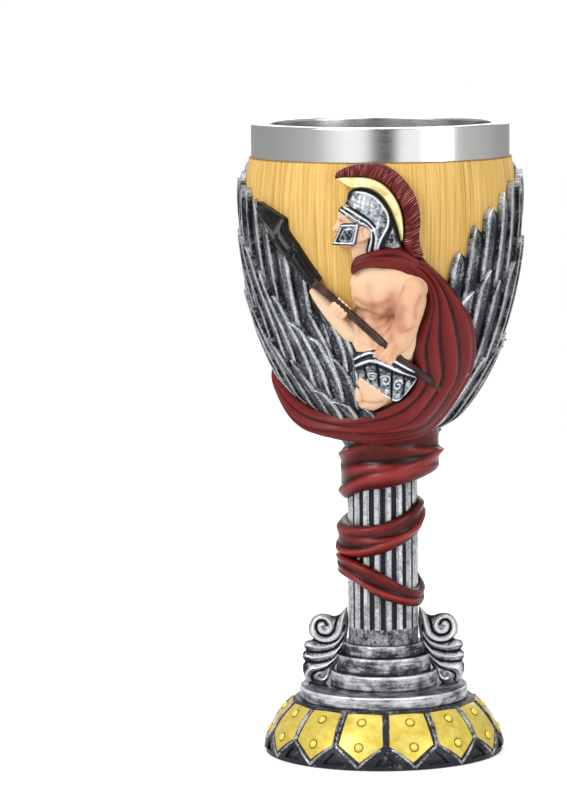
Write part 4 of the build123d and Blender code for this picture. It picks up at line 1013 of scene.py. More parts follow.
torsoLines = [([(-10.4, 140.2), (-6.4, 138.5), (-1.6, 138.3), (2.6, 139.6)], 1.0, -0.7, 0.60),
              ([(-5.0, 144.6), (-4.4, 141.4), (-3.4, 139.0)], 0.5, -0.35, 0.28),
              ([(-3.6, 137.2), (-2.9, 132.4), (-3.4, 126.2)], 0.75, -0.35, 0.25),
              ([(-8.6, 135.6), (-9.2, 131.2), (-8.8, 126.6)], 0.8, -0.3, 0.2),
              ([(-8.6, 134.4), (-5.6, 134.9), (-3.2, 134.2)], 0.6, -0.25, 0.2),
              ([(-8.8, 130.6), (-5.8, 130.9), (-3.2, 130.4)], 0.6, -0.25, 0.2),
              ([(-8.6, 126.8), (-5.6, 126.6), (-3.2, 126.6)], 0.6, -0.2, 0.15),
              ([(3.2, 137.0), (1.4, 135.2), (-1.0, 134.4)], 0.7, -0.45, 0.5),
              ([(4.0, 134.8), (2.2, 132.8), (-0.4, 131.8)], 0.7, -0.4, 0.45),
              ([(4.4, 132.2), (2.8, 130.4), (0.4, 129.4)], 0.7, -0.3, 0.38),
              ([(4.6, 141.6), (5.4, 138.8), (4.4, 136.0)], 1.1, -0.4, 0.5),
              ([(-9.4, 146.8), (-3.4, 147.2), (3.4, 146.2)], 0.6, 0.35, -0.05)]


# rosy shadow in the creases of the skin, from lines drawn on it
def skinRelief(lines, soft=0.22, base=0.04):
    def shape(co):
        r = np.hypot(co[:, 0], co[:, 1])
        proud = smoothStep((r - radiusUnder(co) - 0.3) / 0.8)
        rise, _ = drawn(azimuthOf(co), co[:, 2], lines)
        out = co.copy()
        out[:, :2] *= (1 + rise * proud / r)[:, None]
        return out

    def marks(co, raised):
        az = azimuthOf(co)
        _, light = drawn(az, co[:, 2], [(p, k * 1.3, 0, b * 0.30) for p, k, _, b in lines])
        _, wide = drawn(az, co[:, 2], [(p, k * 3.4, 0, b * 0.38) for p, k, _, b in lines])
        return {"shade": np.clip(base + 0.45 * bell(raised, soft) + light + wide, 0, 0.75)}
    return shape, marks


sculpt("figure_torso", ("torso",), torsoMasses, "skin", 0.36, 5, *skinRelief(torsoLines))


# fingers: how far apart, how thick, and each one's share of that thickness
hand = {"spacing": 1.38, "thick": 0.85, "shares": (1.0, 1.05, 1.0, 0.88)}


# a closed hand round a bar: the back of the hand and four fingers across the bar
def handMasses(place, bar, grip, palm, size=1.0, lift=0.0):
    az, z = place
    bx, bz = bar
    per = (-bz, bx)
    deg = 1 / (np.radians(1) * float(wallRadius(z)))
    masses = [lump(az + palm[0] * deg, z + palm[1], 2.6 + lift, (2.5 * size, 2.3 * size, 1.9 * size),
                   palm[2])]
    for k in range(4):
        along = (k - 1.5) * hand["spacing"] * size
        cx, cz = bx * along, bz * along
        root, knuckle, tip = (((cx + per[0] * reach) * deg, cz + per[1] * reach)
                              for reach in (grip[0], (grip[0] + grip[1]) / 2, grip[1]))
        f = hand["thick"] * size * hand["shares"][k]
        bend = (az + knuckle[0], z + knuckle[1], 4.3 + lift)
        masses.append(massAlong((az + root[0], z + root[1], 3.2 + lift), bend, [(0, f), (1, f)]))
        masses.append(massAlong(bend, (az + tip[0], z + tip[1], 3.0 + lift), [(0, f), (1, f * 0.9)]))
    return masses


nearArm = [
    massAlong((12.9, 143.4, 0.6), (11.2, 134.0, 2.2), [(0, 4.5), (0.35, 4.9), (0.7, 4.4), (1, 3.7)]),
    massAlong((11.0, 134.0, 2.2), (8.2, 128.6, 2.8), [(0, 3.8), (0.5, 3.9), (1, 3.4)]),
    massAlong((8.2, 128.8, 2.8), (4.0, 125.8, 2.9), [(0, 3.4), (1, 2.3)]),
    lump(11.0, 138.0, 2.4, (2.8, 3.8, 2.6), -10),
]
nearArm += handMasses((1.6, 124.9), (0.76, -0.65), (-2.0, 1.8), (1.6, 0.3, 20), 1.05)
armLines = [([(15.6, 141.4), (13.6, 138.2), (13.4, 135.2)], 0.5, -0.5, 0.30),
            ([(8.4, 137.8), (8.0, 134.6), (9.0, 132.2)], 0.5, -0.4, 0.28),
            ([(13.0, 132.4), (10.6, 131.2), (8.0, 131.0)], 0.45, -0.4, 0.28),
            ([(7.6, 143.6), (6.2, 140.4), (6.0, 136.4), (6.6, 132.4)], 0.8, -0.2, 0.45),
            ([(3.6, 129.2), (0.6, 127.6), (-2.2, 125.6)], 0.6, 0.0, 0.40),
            ([(6.0, 126.6), (4.4, 124.2)], 0.5, -0.2, 0.25)]
sculpt("figure_near_arm", ("near_arm",), nearArm, "skin", 0.3, 4, *skinRelief(armLines, 0.3, 0.26))
farHand = handMasses((-17.0, 138.4), (0.72, -0.69), (-1.8, 1.5), (-1.0, -0.6, 0), 0.95, -0.2)
handLines = [([(-15, 137.0), (-14.2, 135.6)], 0.8, 0, 0.3)]
sculpt("figure_far_hand", ("far_hand",), farHand, "skin", 0.28, 4, *skinRelief(handLines, 0.3))

thighLine = [(-11.6, 118.8), (-14.2, 116.4), (-16.6, 113.2), (-17.0, 110.8), (-15.2, 108.4), (-12.4, 106.9),
             (-7.4, 106.6), (-2.0, 107.4), (3.4, 109.4), (7.6, 111.6), (3.6, 114.4), (-3.0, 116.8),
             (-8.0, 119.2)]
thighLines = [([(-14.6, 109.6), (-10.4, 110.6), (-5.0, 110.2), (0.4, 110.4)], 0.5, -0.45, 0.35),
              ([(-12.4, 114.6), (-10.6, 112.4), (-11.2, 110.8)], 0.5, -0.3, 0.22),
              ([(-13.4, 108.0), (-8.0, 107.4), (-1.0, 108.2)], 0.45, 0.1, 0.30)]


def thighLift(t, s, az, z):
    rise, light = drawn(az, z, thighLines)
    h = 0.5 + 2.6 * np.sqrt(np.clip(1 - s ** 2.6, 0, 1)) + rise * (1 - s ** 8)
    return h, np.clip(0.05 + light + 0.35 * s ** 8, 0, 1)


patchPiece("figure_thigh", "thigh", "skin", (thighLine, (-7.4, 112.6), thighLift, 160, 50))
print("body done")


# a small rolled curl of points about a place
def curl(az, z, size, start, way=1):
    a = np.radians(start + way * np.linspace(0, 460, 16))
    r = size * np.linspace(1, 0.18, 16)
    return [(az + reach * math.cos(b) / 0.62, z + reach * math.sin(b)) for reach, b in zip(r, a)]


# kilt of embossed plates under a double belt
kiltLine = [(-13.4, 124.6), (-9.0, 126.2), (-3.8, 126.9), (3.9, 125.0), (10.0, 122.9), (16.8, 120.6),
            (19.0, 117.2), (16.4, 114.0), (13.0, 111.4), (9.4, 109.9), (5.6, 110.2), (2.4, 111.2),
            (-1.6, 112.2), (-4.8, 114.0), (-8.4, 115.4), (-11.8, 117.6), (-13.0, 121.0)]
kiltLines = [([(-13.0, 123.8), (-8.6, 125.2), (-3.8, 125.9), (3.9, 124.0), (10.0, 121.9), (16.8, 119.6)],
              0.30, 0.45, 0.62),
             ([(-13.0, 122.8), (-8.6, 124.1), (-3.8, 124.8), (3.9, 122.9), (10.0, 120.9), (17.2, 118.6)],
              0.34, -0.45, -0.5),
             ([(-12.8, 121.8), (-8.6, 123.0), (-3.8, 123.7), (3.9, 121.8), (10.0, 119.9), (17.4, 117.7)],
              0.30, 0.42, 0.58),
             ([(-12.4, 120.8), (-8.6, 122.0), (-3.8, 122.6), (3.9, 120.7), (10.0, 118.8), (17.0, 116.9)],
              0.34, -0.45, -0.5),
             ([(-8.0, 121.8), (-7.0, 116.0)], 0.30, -0.5, -0.5),
             ([(-2.0, 122.4), (-1.0, 112.8)], 0.34, -0.6, -0.6),
             ([(4.8, 120.4), (5.4, 111.0)], 0.34, -0.6, -0.6),
             ([(11.4, 118.4), (11.8, 112.0)], 0.30, -0.5, -0.5),
             ([(-11.4, 118.2), (-8.2, 116.4), (-4.8, 115.0), (-1.6, 113.2), (2.4, 112.2), (5.6, 111.2),
               (9.4, 110.9), (12.6, 112.4), (15.8, 114.8), (18.2, 117.2)], 0.28, 0.42, 0.60),
             (curl(-4.6, 118.6, 1.7, 30), 0.20, 0.35, 0.60),
             (curl(1.8, 117.2, 1.9, 150, -1), 0.21, 0.38, 0.65),
             (curl(8.3, 115.6, 1.7, 20), 0.21, 0.38, 0.65), (curl(-10.0, 118.9, 0.8, 90), 0.18, 0.3, 0.5),
             (curl(14.2, 115.8, 0.9, 90), 0.18, 0.3, 0.5), (curl(2.6, 113.6, 0.8, 0), 0.18, 0.3, 0.5),
             (curl(9.0, 112.4, 0.8, 180), 0.18, 0.3, 0.5)]


def kiltLift(t, s, az, z):
    rise, light = drawn(az, z, kiltLines)
    h = 1.4 + 1.5 * np.sqrt(np.clip(1 - s ** 4, 0, 1)) + rise + 1.7 * smoothStep((z - 117.5) / 3.5)
    return h, np.clip(0.36 + light - 0.3 * s ** 10, 0, 1)


patchPiece("figure_kilt", "kilt", "helmet_silver", (kiltLine, (2.0, 117.2), kiltLift, 260, 90))

# spear: a round shaft through both hands and a black head with a long socket
spearLine = [(-27.4, 145.4), (-18.6, 140.4), (-9.5, 134.6), (-0.4, 128.9), (9.4, 123.4), (20.5, 118.6),
             (32, 114.2)]
shaftParts = barParts([onWall(az, z, 3.0) for az, z in spearLine], [1.25, 1.2, 1.2, 1.2, 1.25], 60, 16)
shaftPiece = newPiece("spear_shaft_bar", *shaftParts, "goblet", "shaft_brown", None, 60)
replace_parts(shaftPiece, "spear_shaft")
spearEdges = ([(-58.6, 167.9), (-53.0, 166.7), (-46.6, 165.0), (-41.9, 163.4), (-41.5, 160.8), (-39.3, 158.6),
               (-36.0, 156.0), (-32.0, 152.1), (-28.2, 148.6), (-25.8, 146.4)],
              [(-58.8, 167.4), (-55.6, 163.5), (-53.8, 160.6), (-51.1, 157.9), (-48.4, 155.9), (-43.0, 152.9),
               (-37.7, 149.2), (-33.2, 145.8), (-31.2, 144.7), (-29.2, 143.8)])


def spearLift(t, s):
    socket = smoothStep((t - 0.42) / 0.08)
    blade = 1.5 + 2.5 * smoothStep(t / 0.12) * np.clip(1 - np.abs(2 * s - 0.95), 0, 1) ** 0.9
    tube = (1.4 + 2.7 * np.sin(math.pi * np.clip(s, 0, 1)) ** 0.55 + 0.35 * bell(t - 0.66, 0.012)
            - 0.5 * bell(t - 0.69, 0.008))
    return blade * (1 - socket) + tube * socket, 0.4 + 0 * t * s


laySheet("spear_head_blade", ("spear_head",), "spear_black", spearEdges, spearLift, 120, 34, 0.08, 2.1, 50)

# head of the front figure, a plain profile of its own: thirds from brow to nose to chin
headLine = [(-9.0, 169.6), (-13.6, 168.8), (-15.9, 167.0), (-17.2, 165.4), (-17.2, 164.4), (-18.3, 162.6),
            (-19.7, 161.0), (-19.3, 160.5), (-18.3, 160.3), (-18.6, 159.5), (-18.1, 159.1), (-18.3, 158.5),
            (-17.8, 157.9), (-18.0, 157.0), (-17.0, 156.0), (-14.9, 155.6), (-12.9, 154.8), (-12.0, 153.4),
            (-11.6, 151.6), (-8.0, 150.4), (-3.4, 150.8), (-2.2, 154.0), (-2.0, 160.0), (-3.6, 166.0)]
headLines = [([(-17.0, 164.2), (-18.5, 162.0), (-19.3, 161.0)], 0.55, 0.5, -0.15),
             ([(-18.5, 160.5), (-17.8, 160.8)], 0.35, 0.35, 0.0),
             ([(-17.5, 160.2), (-17.2, 161.0)], 0.22, -0.2, 0.35),
             ([(-16.9, 164.5), (-13.0, 165.0)], 0.5, 0.45, 0.0),
             ([(-16.4, 163.6), (-14.0, 163.2)], 0.42, -0.45, 0.35),
             ([(-16.0, 163.2), (-14.6, 163.1)], 0.22, 0.22, -0.2),
             ([(-15.6, 163.25), (-15.3, 163.25)], 0.16, 0.0, 0.95),
             ([(-18.2, 159.1), (-16.2, 158.9)], 0.16, -0.35, 0.55),
             ([(-18.4, 159.6), (-16.6, 159.5)], 0.28, 0.22, 0.12),
             ([(-18.1, 158.5), (-16.6, 158.4)], 0.26, 0.25, 0.10),
             ([(-9.6, 157.6), (-12.0, 155.6), (-15.2, 155.6)], 0.45, -0.3, 0.30),
             ([(-5.6, 162.0), (-7.2, 160.6), (-6.6, 158.8)], 0.3, -0.3, 0.35)]


def headLift(t, s, az, z):
    rise, light = drawn(az, z, headLines)
    jaw = smoothStep((155.9 + 0.26 * (az + 16) - z) / 1.4)
    h = 0.9 + 2.7 * np.sqrt(np.clip(1 - s ** 3.2, 0, 1)) - 1.1 * jaw + rise * (1 - s ** 12)
    return h, np.clip(0.06 + light + 0.32 * bell(jaw - 0.5, 0.4) + 0.2 * s ** 10, 0, 1)


patchPiece("figure_head", "head", "skin", (headLine, (-10.4, 160.4), headLift, 300, 90))

# helmet of the front figure: dome, brow lines, neck guard and cheek plate
helmetLine = [(-16.2, 166.1), (-15.3, 167.4), (-13.6, 169.2), (-12.9, 171.4), (-10.6, 172.5), (-6.7, 172.6),
              (-2.6, 171.6), (1.2, 169.2), (4.2, 165.6), (6.2, 161.6), (7.6, 158.4), (8.7, 156.0),
              (5.4, 155.0), (1.6, 155.6), (-2.4, 154.4), (-5.6, 154.7), (-5.0, 157.2), (-4.5, 159.6),
              (-5.2, 161.5), (-7.2, 162.1), (-9.8, 162.2), (-12.2, 163.8), (-14.4, 165.2)]
helmetLines = [([(-15.8, 166.0), (-13.4, 164.5), (-11.0, 162.9), (-9.2, 162.5), (-7.2, 162.9)],
                0.26, 0.40, 0.80),
               ([(-15.8, 166.4), (-12.9, 164.8), (-10.2, 163.4), (-7.4, 163.3)], 0.24, -0.40, -0.55),
               ([(-15.7, 166.9), (-12.4, 165.3), (-9.2, 163.7), (-6.0, 162.6), (-4.2, 161.2)],
                0.26, 0.45, 0.85),
               ([(-15.5, 167.4), (-12.0, 165.9), (-8.6, 164.3), (-5.4, 162.9), (-3.6, 161.4)],
                0.24, -0.40, -0.60),
               ([(-15.2, 167.9), (-11.6, 166.4), (-8.2, 164.8), (-5.0, 163.3), (-3.0, 161.6), (-2.2, 159.9)],
                0.27, 0.45, 0.80),
               ([(-14.8, 168.4), (-11.2, 167.0), (-7.6, 165.4), (-4.4, 163.8), (-2.2, 161.9)],
                0.30, -0.35, -0.60),
               ([(-16.0, 166.8), (-14.8, 168.6), (-13.2, 170.2), (-12.6, 171.6)], 0.65, -0.25, -0.75),
               ([(-9.6, 162.1), (-7.2, 162.0), (-5.2, 161.3), (-4.5, 159.4), (-5.0, 157.0), (-5.6, 154.9)],
                0.34, -0.1, -0.55),
               ([(-7.6, 162.8), (-5.2, 162.2), (-3.7, 160.6), (-3.6, 158.4), (-4.2, 156.2), (-4.6, 154.8)],
                0.24, 0.42, 0.62),
               ([(-3.0, 160.2), (-2.7, 158.2), (-3.2, 156.0), (-3.5, 154.8)], 0.26, -0.40, -0.55),
               ([(-2.2, 160.4), (-1.8, 158.4), (-2.2, 156.2), (-2.4, 154.8)], 0.24, 0.30, 0.45),
               ([(-9.5, 171.6), (-5.6, 171.2), (-2.0, 169.8), (0.8, 167.6), (2.7, 165.0), (2.6, 162.2),
                 (0.8, 159.4), (-0.6, 157.0), (-1.3, 154.9)], 0.26, 0.42, 0.62),
               ([(-9.5, 172.3), (-5.2, 171.9), (-1.2, 170.4), (1.8, 168.0), (3.9, 165.0), (3.7, 161.8),
                 (1.9, 158.9), (0.5, 156.8), (-0.2, 155.2)], 0.42, -0.50, -0.85),
               ([(3.9, 165.0), (5.7, 161.6), (7.2, 158.2), (8.4, 156.0)], 0.50, -0.35, -0.65),
               ([(2.4, 155.7), (4.8, 155.4), (7.8, 156.1)], 0.35, 0.25, 0.30)]


def helmetLift(t, s, az, z):
    rise, light = drawn(az, z, helmetLines)
    guard = smoothStep((az - 2.6 - 0.35 * (z - 161)) / 1.2) * smoothStep((165 - z) / 2)
    hammered = np.sin(2.3 * az + 1.7 * z) * np.sin(1.3 * az - 2.6 * z + 1)
    over = smoothStep((-2.5 - az) / 3) * smoothStep((168.5 - z) / 1.5)
    dome = 1.2 + 2.9 * np.sqrt(np.clip(1 - s ** 3, 0, 1)) - 0.7 * guard
    h = np.maximum(dome, 3.75 * over) + (rise + 0.07 * hammered) * (1 - s ** 14)
    crown = bell(np.hypot((az + 4.6) * 0.6, z - 167.4), 3.4)
    return h, np.clip(0.40 + 0.22 * crown + light + 0.05 * hammered - 0.2 * s ** 8, 0, 1)


plateLine = [(-18.5, 156.9), (-18.3, 157.2), (-16.8, 159.6), (-15.3, 162.1), (-14.9, 162.6), (-14.4, 162.8),
             (-11.4, 162.9), (-8.5, 162.9), (-8.0, 162.8), (-8.0, 162.3), (-8.8, 159.6), (-9.6, 156.9),
             (-9.8, 156.7), (-10.2, 156.6), (-14.0, 156.6), (-18.0, 156.7)]
plateLines = [([(-17.6, 157.3), (-14.5, 162.2)], 0.20, 0.35, 0.60),
              ([(-14.5, 162.2), (-8.7, 162.3)], 0.20, 0.35, 0.60),
              ([(-8.7, 162.3), (-10.2, 157.2)], 0.20, 0.35, 0.60),
              ([(-10.2, 157.2), (-17.6, 157.3)], 0.20, 0.35, 0.60),
              ([(-13.6, 161.0), (-10.2, 161.1), (-11.2, 158.2), (-15.4, 158.2), (-13.6, 161.0)],
               0.16, 0.1, 0.22)]


def plateLift(t, s, az, z):
    rise, light = drawn(az, z, plateLines)
    return 4.5 + rise - 0.4 * s ** 10 + 0 * t, np.clip(0.24 + light - 0.2 * s ** 20, 0, 1)


patchPiece("figure_helmet", "helmet", "helmet_silver", (helmetLine, (-0.6, 163.2), helmetLift, 300, 100),
           (plateLine, (-12.6, 159.9), plateLift, 160, 44))

# crest of fine uneven locks, each with its own glint
locks = {"count": 78, "shine": dice.uniform(0.2, 1.0, 80), "place": dice.uniform(0.1, 0.95, 80),
         "reach": dice.uniform(0.12, 0.5, 80), "depth": dice.uniform(0.55, 1.0, 80),
         "sway": dice.uniform(-0.25, 0.25, 80)}


def combLift(t, s):
    turn = t * locks["count"] + 0.9 * s + 0.35 * np.sin(5 * s + 9 * t)
    k = np.clip(turn.astype(int), 0, 79)
    across = turn - k + locks["sway"][k] * s * (1 - s)
    ridge = np.clip(1 - np.abs(2 * across - 0.9), 0, 1)
    glint = locks["shine"][k] * bell(s - locks["place"][k], 1) ** (1 / locks["reach"][k] ** 2)
    h = 2.1 + 1.5 * np.sin(math.pi * np.clip(s, 0, 1)) ** 0.5 + 0.45 * locks["depth"][k] * ridge - 0.3
    return h, np.clip(0.10 + 0.30 * ridge + 0.85 * glint * ridge ** 2.5, 0, 1)


crestEdges = ([(-18.3, 176.0), (-16.6, 177.6), (-12.4, 179.1), (-7, 179.75), (0.0, 179.75), (5.2, 178.0),
               (9.6, 175.2), (13.4, 171.3), (15.4, 167.4), (16.1, 163.0), (15.6, 159.8), (15.8, 157.0),
               (17.6, 152.8)],
              [(-18.4, 175.2), (-15.4, 175.3), (-11.6, 175.5), (-7.6, 175.6), (-3.1, 175.1), (1.5, 173.6),
               (5.0, 171.0), (7.6, 167.7), (8.9, 164.0), (9.0, 161.0), (8.6, 158.0), (9.6, 155.4),
               (12.4, 152.6)])
laySheet("figure_crest", ("helmet_crest",), "crest_red", crestEdges, combLift, 640, 26, 0.16)
holderEdges = ([(-18.0, 175.3), (-14.2, 175.8), (-9.8, 175.9), (-4.2, 175.5), (0.6, 174.0), (4.6, 171.2),
                (7.2, 167.8), (8.5, 164.2), (8.8, 160.6), (8.4, 157.6)],
               [(-17.4, 174.8), (-14.2, 173.7), (-11.2, 172.5), (-7.6, 172.7), (-3.6, 172.2), (0.4, 170.3),
                (3.4, 167.3), (5.4, 164.1), (7.0, 160.6), (8.0, 157.4)])


def holderLift(t, s):
    h = 2.1 + 1.3 * np.sin(math.pi * s) ** 0.5 + 0.35 * bell(s - 0.86, 0.06) - 0.3 * bell(s - 0.74, 0.05)
    return h + 0 * t, 0.4 + 0.4 * bell(s - 0.5, 0.3) + 0 * t


laySheet("figure_crest_holder", ("crest_holder",), "gold", holderEdges, holderLift, 160, 30, 0.16)
print("front figure done")

# shield side: arm, hand, sword, helmet with the face behind it, and the round shield
rearArm = [massAlong((178, 168.0, -0.6), (166, 168.4, 1.6), [(0, 3.2), (0.5, 3.9), (1, 4.0)]),
           massAlong((167, 168.4, 1.6), (154.6, 165.2, 1.9), [(0, 4.0), (0.5, 3.9), (1, 3.2)]),
           massAlong((154.2, 165.6, 1.9), (155.4, 157.6, 2.6), [(0, 3.2), (0.4, 3.1), (1, 2.3)]),
           lump(171, 166.0, 0.8, (4.2, 3.4, 2.6)),
           lump(156.6, 154.4, 2.9, (2.7, 2.9, 2.2)),
           massAlong((160.0, 156.8, 4.0), (166.8, 155.8, 3.6), [(0, 0.95), (1, 0.8)]),
           massAlong((158.0, 157.2, 3.4), (163.0, 158.0, 3.4), [(0, 1.0), (1, 0.85)])]
for k in range(3):
    rearArm.append(massAlong((153.8 + 2.6 * k, 155.4, 4.4), (155.2 + 2.6 * k, 150.6 - 0.3 * k, 4.0),
                             [(0, 1.05), (1, 0.85)]))
sculpt("rear_figure_arm", ("rear_arm",), rearArm, "skin", 0.32, 5,
       lambda co: press(co, [(168, 170.6, 3.4, 0.6, -6, -0.35), (163, 166.4, 3.0, 0.6, 10, -0.3)])[0],
       skinMarks([(166, 168.6, 4.2, 1.6, 0, 0.4), (157, 161.8, 1.6, 0.9, 0, 0.2)]))

swordEdges = ([(166.0, 153.9), (172, 153.9), (182, 153.7), (192, 154.4), (203, 155.6), (209, 155.4)],
              [(165.6, 151.6), (172, 150.8), (181, 149.0), (190, 147.6), (201, 148.0), (209.6, 152.0)])


def swordLift(t, s):
    h = 3.6 + 1.0 * (1 - np.abs(2 * s - 1)) + 0.4 * bell(s - 0.18, 0.05)
    return h + 0 * t, 0.5 + 0.3 * bell(s - 0.5, 0.2) + 0.3 * bell(s - 0.95, 0.08) + 0 * t


laySheet("sword_blade_plate", ("sword_blade",), "helmet_silver", swordEdges, swordLift, 60, 20, 0.12, 0.5, 45)

# grip, guard and pommel as (places, radii, rings, turns)
hiltBars = [([(150.6, 149.8, 2.6), (157, 150.6, 2.8), (164.8, 152.2, 3.0)], [1.2, 1.15, 1.3], 20, 14),
            ([(163.6, 155.0, 3.0), (164.0, 152.4, 3.6), (163.8, 149.6, 3.0)], [0.9, 1.15, 0.9], 16, 12),
            ([(151.6, 150.4, 2.2), (150.2, 149.8, 2.6)], [1.7, 1.7], 8, 14)]
hilt = joinParts([barParts([onWall(*place) for place in line], *rest) for line, *rest in hiltBars])
hiltPiece = newPiece("sword_hilt_bar", *hilt, "goblet", "helmet_silver",
                     {"high": np.full(len(hilt[0]), 0.35)}, 50)
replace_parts(hiltPiece, "sword_hilt")


def rearHelmetShape(co):
    out, _ = press(co, [(185.5, 172.4, 0.5, 6.4, 0, 0.55), (181.2, 167.4, 2.0, 1.0, 10, -1.1),
                        (189.8, 167.4, 2.0, 1.0, -10, -1.1), (183.4, 164.6, 0.75, 2.6, 0, -1.2),
                        (187.6, 164.6, 0.75, 2.6, 0, -1.2), (180.4, 169.6, 3.4, 0.5, 20, 0.35),
                        (190.6, 169.6, 3.4, 0.5, -20, 0.35), (185.5, 166.4, 0.7, 3.4, 0, 0.35)])
    return out


rearHelmetMasses = [lump(185.5, 171.2, -0.4, (7.2, 8.3, 4.6)), lump(185.5, 167.4, -0.2, (6.9, 5.0, 4.6)),
                    massAlong((181.6, 168.0, 0.8), (182.6, 163.8, 1.2), [(0, 3.2), (1, 2.2)]),
                    massAlong((189.4, 168.0, 0.8), (188.4, 163.8, 1.2), [(0, 3.2), (1, 2.2)]),
                    massAlong((185.5, 179.0, 1.0), (185.5, 170.0, 3.6), [(0, 0.6), (0.5, 0.9), (1, 0.7)])]


def rearHelmetMarks(co, raised):
    _, opened = press(co, [(181.2, 167.4, 1.9, 0.85, 10, 1.0), (189.8, 167.4, 1.9, 0.85, -10, 1.0),
                           (183.45, 164.4, 0.62, 2.4, 0, 1.0), (187.55, 164.4, 0.62, 2.4, 0, 1.0)])
    _, pupil = press(co, [(181.4, 167.3, 0.5, 0.35, 0, 1.0), (189.6, 167.3, 0.5, 0.35, 0, 1.0)])
    return {"opened": np.clip(opened, 0, 1), "pupil": np.clip(pupil, 0, 1),
            "high": np.clip(0.42 + 0.25 * raised, 0, 1) - 0.25 * bell(opened - 0.35, 0.2)}


sculpt("rear_figure_helmet", ("rear_helmet", "rear_face"), rearHelmetMasses, "helmet_silver", 0.24, 3,
       rearHelmetShape, rearHelmetMarks)

shieldPlace = {"az": 185.0, "height": 139.8, "radius": 23.2, "teeth": 24, "toothIn": 14.2, "toothOut": 17.4}


# azimuth and height of a spot on the shield, from its distance to the middle and its angle there
def shieldSpot(r, a):
    cx = float(wallRadius(shieldPlace["height"])) * math.sin(math.radians(shieldPlace["az"] - 180))
    z = shieldPlace["height"] + r * math.sin(a)
    x = np.clip((cx + r * math.cos(a)) / float(wallRadius(z)), -0.98, 0.98)
    return 180 + math.degrees(math.asin(x)), z


def shieldLift(t, s, az, z):
    r = s * shieldPlace["radius"]
    rim = smoothStep((r - (shieldPlace["radius"] - 2.4)) / 0.4)
    groove = bell((r - (shieldPlace["radius"] - 2.7)) / 0.35, 1)
    h = 2.2 + 0.7 * (1 - s ** 2) + 1.2 * rim - 0.35 * groove - 0.3 * smoothStep((s - 0.975) / 0.025)
    return h, np.clip(0.5 - 0.5 * groove + 0 * az, 0, 1)


shieldLine = [shieldSpot(shieldPlace["radius"], a) for a in np.linspace(0, 2 * math.pi, 120, endpoint=False)]
patchPiece("round_shield", "shield", "shield_yellow",
           (shieldLine, (shieldPlace["az"], shieldPlace["height"]), shieldLift, 180, 70))


def teethPiece():
    verts, faces = [], []
    for k in range(shieldPlace["teeth"]):
        a = 2 * math.pi * (k + 0.5) / shieldPlace["teeth"]
        half = math.pi / shieldPlace["teeth"] * 0.92
        n = len(verts)
        foot = shieldPlace["toothIn"]
        corners = [(foot, a - half), (foot, a + half), (shieldPlace["toothOut"], a)]
        mid = (sum(r for r, _ in corners) / 3, a)
        for off in (3.05, 2.2):
            verts += [onWall(*shieldSpot(r, b), off) for r, b in corners]
        verts.append(onWall(*shieldSpot(*mid), 3.4))
        faces += [[n, n + 1, n + 6], [n + 1, n + 2, n + 6], [n + 2, n, n + 6], [n + 5, n + 4, n + 3],
                  [n, n + 3, n + 4, n + 1], [n + 1, n + 4, n + 5, n + 2], [n + 2, n + 5, n + 3, n]]
    return newPiece("shield_teeth", np.array(verts), faces, "goblet", "crest_red",
                    {"high": np.full(len(verts), 0.5)}, 20)


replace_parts(teethPiece(), "dogtooth_ring")
print("shield side done")


# scroll brackets at the column's foot, mirrored: a carved plate with a volute over leaf lobes and a curl
scroll = {
    "outline": [(10.9, 43.6), (11.9, 42.6), (13.2, 41.2), (15.0, 40.7), (17.2, 41.3), (19.4, 41.3),
                (21.4, 40.1), (22.5, 37.8), (22.4, 35.4), (21.3, 33.8), (22.3, 33.3), (23.7, 32.8),
                (24.1, 31.5), (23.5, 30.3), (24.4, 29.4), (24.5, 28.0), (23.9, 26.9), (24.5, 25.6),
                (24.4, 23.6), (23.6, 21.4), (22.4, 19.8), (20.6, 19.1), (18.4, 19.4), (17.0, 20.8),
                (16.4, 22.6), (15.2, 24.4), (13.6, 27.2), (12.0, 30.4), (11.0, 34.6), (10.6, 39.0)],
    "centre": (16.6, 32.6), "depth": 1.9,
    "lines": [([(11.3, 42.6), (12.2, 40.4), (12.9, 37.6), (14.2, 35.0), (16.6, 33.7), (19.6, 34.0),
                (21.5, 36.0), (21.5, 38.8), (19.6, 40.6), (17.0, 40.2), (15.8, 38.0), (16.8, 36.2),
                (18.8, 36.4), (19.3, 38.0), (18.2, 38.5)], 0.62, 1.15, 0.50),
              ([(13.6, 41.0), (14.4, 38.6), (14.9, 36.6), (16.6, 35.0), (19.2, 35.4), (20.3, 37.2),
                (19.8, 39.2), (18.0, 39.5), (17.1, 38.2)], 0.30, -0.9, -0.55),
              ([(11.8, 38.0), (12.4, 35.6), (14.4, 33.4), (17.6, 32.6), (21.2, 33.6)], 0.30, -0.9, -0.5),
              ([(12.2, 35.8), (13.8, 33.2), (16.6, 31.7), (20.0, 31.4), (23.4, 32.2)], 0.50, 0.85, 0.45),
              ([(12.2, 34.0), (14.2, 31.4), (17.4, 30.1), (20.8, 29.8), (23.6, 30.3)], 0.28, -0.8, -0.5),
              ([(12.4, 32.4), (14.6, 29.8), (17.8, 28.6), (21.0, 28.3), (24.0, 28.8)], 0.50, 0.85, 0.45),
              ([(13.0, 30.8), (15.4, 28.0), (18.4, 26.9), (21.2, 26.7), (23.8, 27.0)], 0.28, -0.8, -0.5),
              ([(14.0, 28.8), (16.6, 26.2), (19.6, 25.2), (22.2, 24.6), (23.4, 22.8), (22.8, 21.0)],
               0.60, 0.85, 0.45),
              ([(15.4, 26.6), (17.8, 24.7), (20.2, 23.9), (21.7, 22.8), (21.4, 20.8)], 0.28, -0.8, -0.5),
              ([(16.4, 24.4), (16.9, 22.4), (18.4, 21.2), (20.0, 21.8), (20.1, 23.2), (18.9, 23.7),
                (18.4, 22.8)], 0.40, 0.85, 0.5)],
}


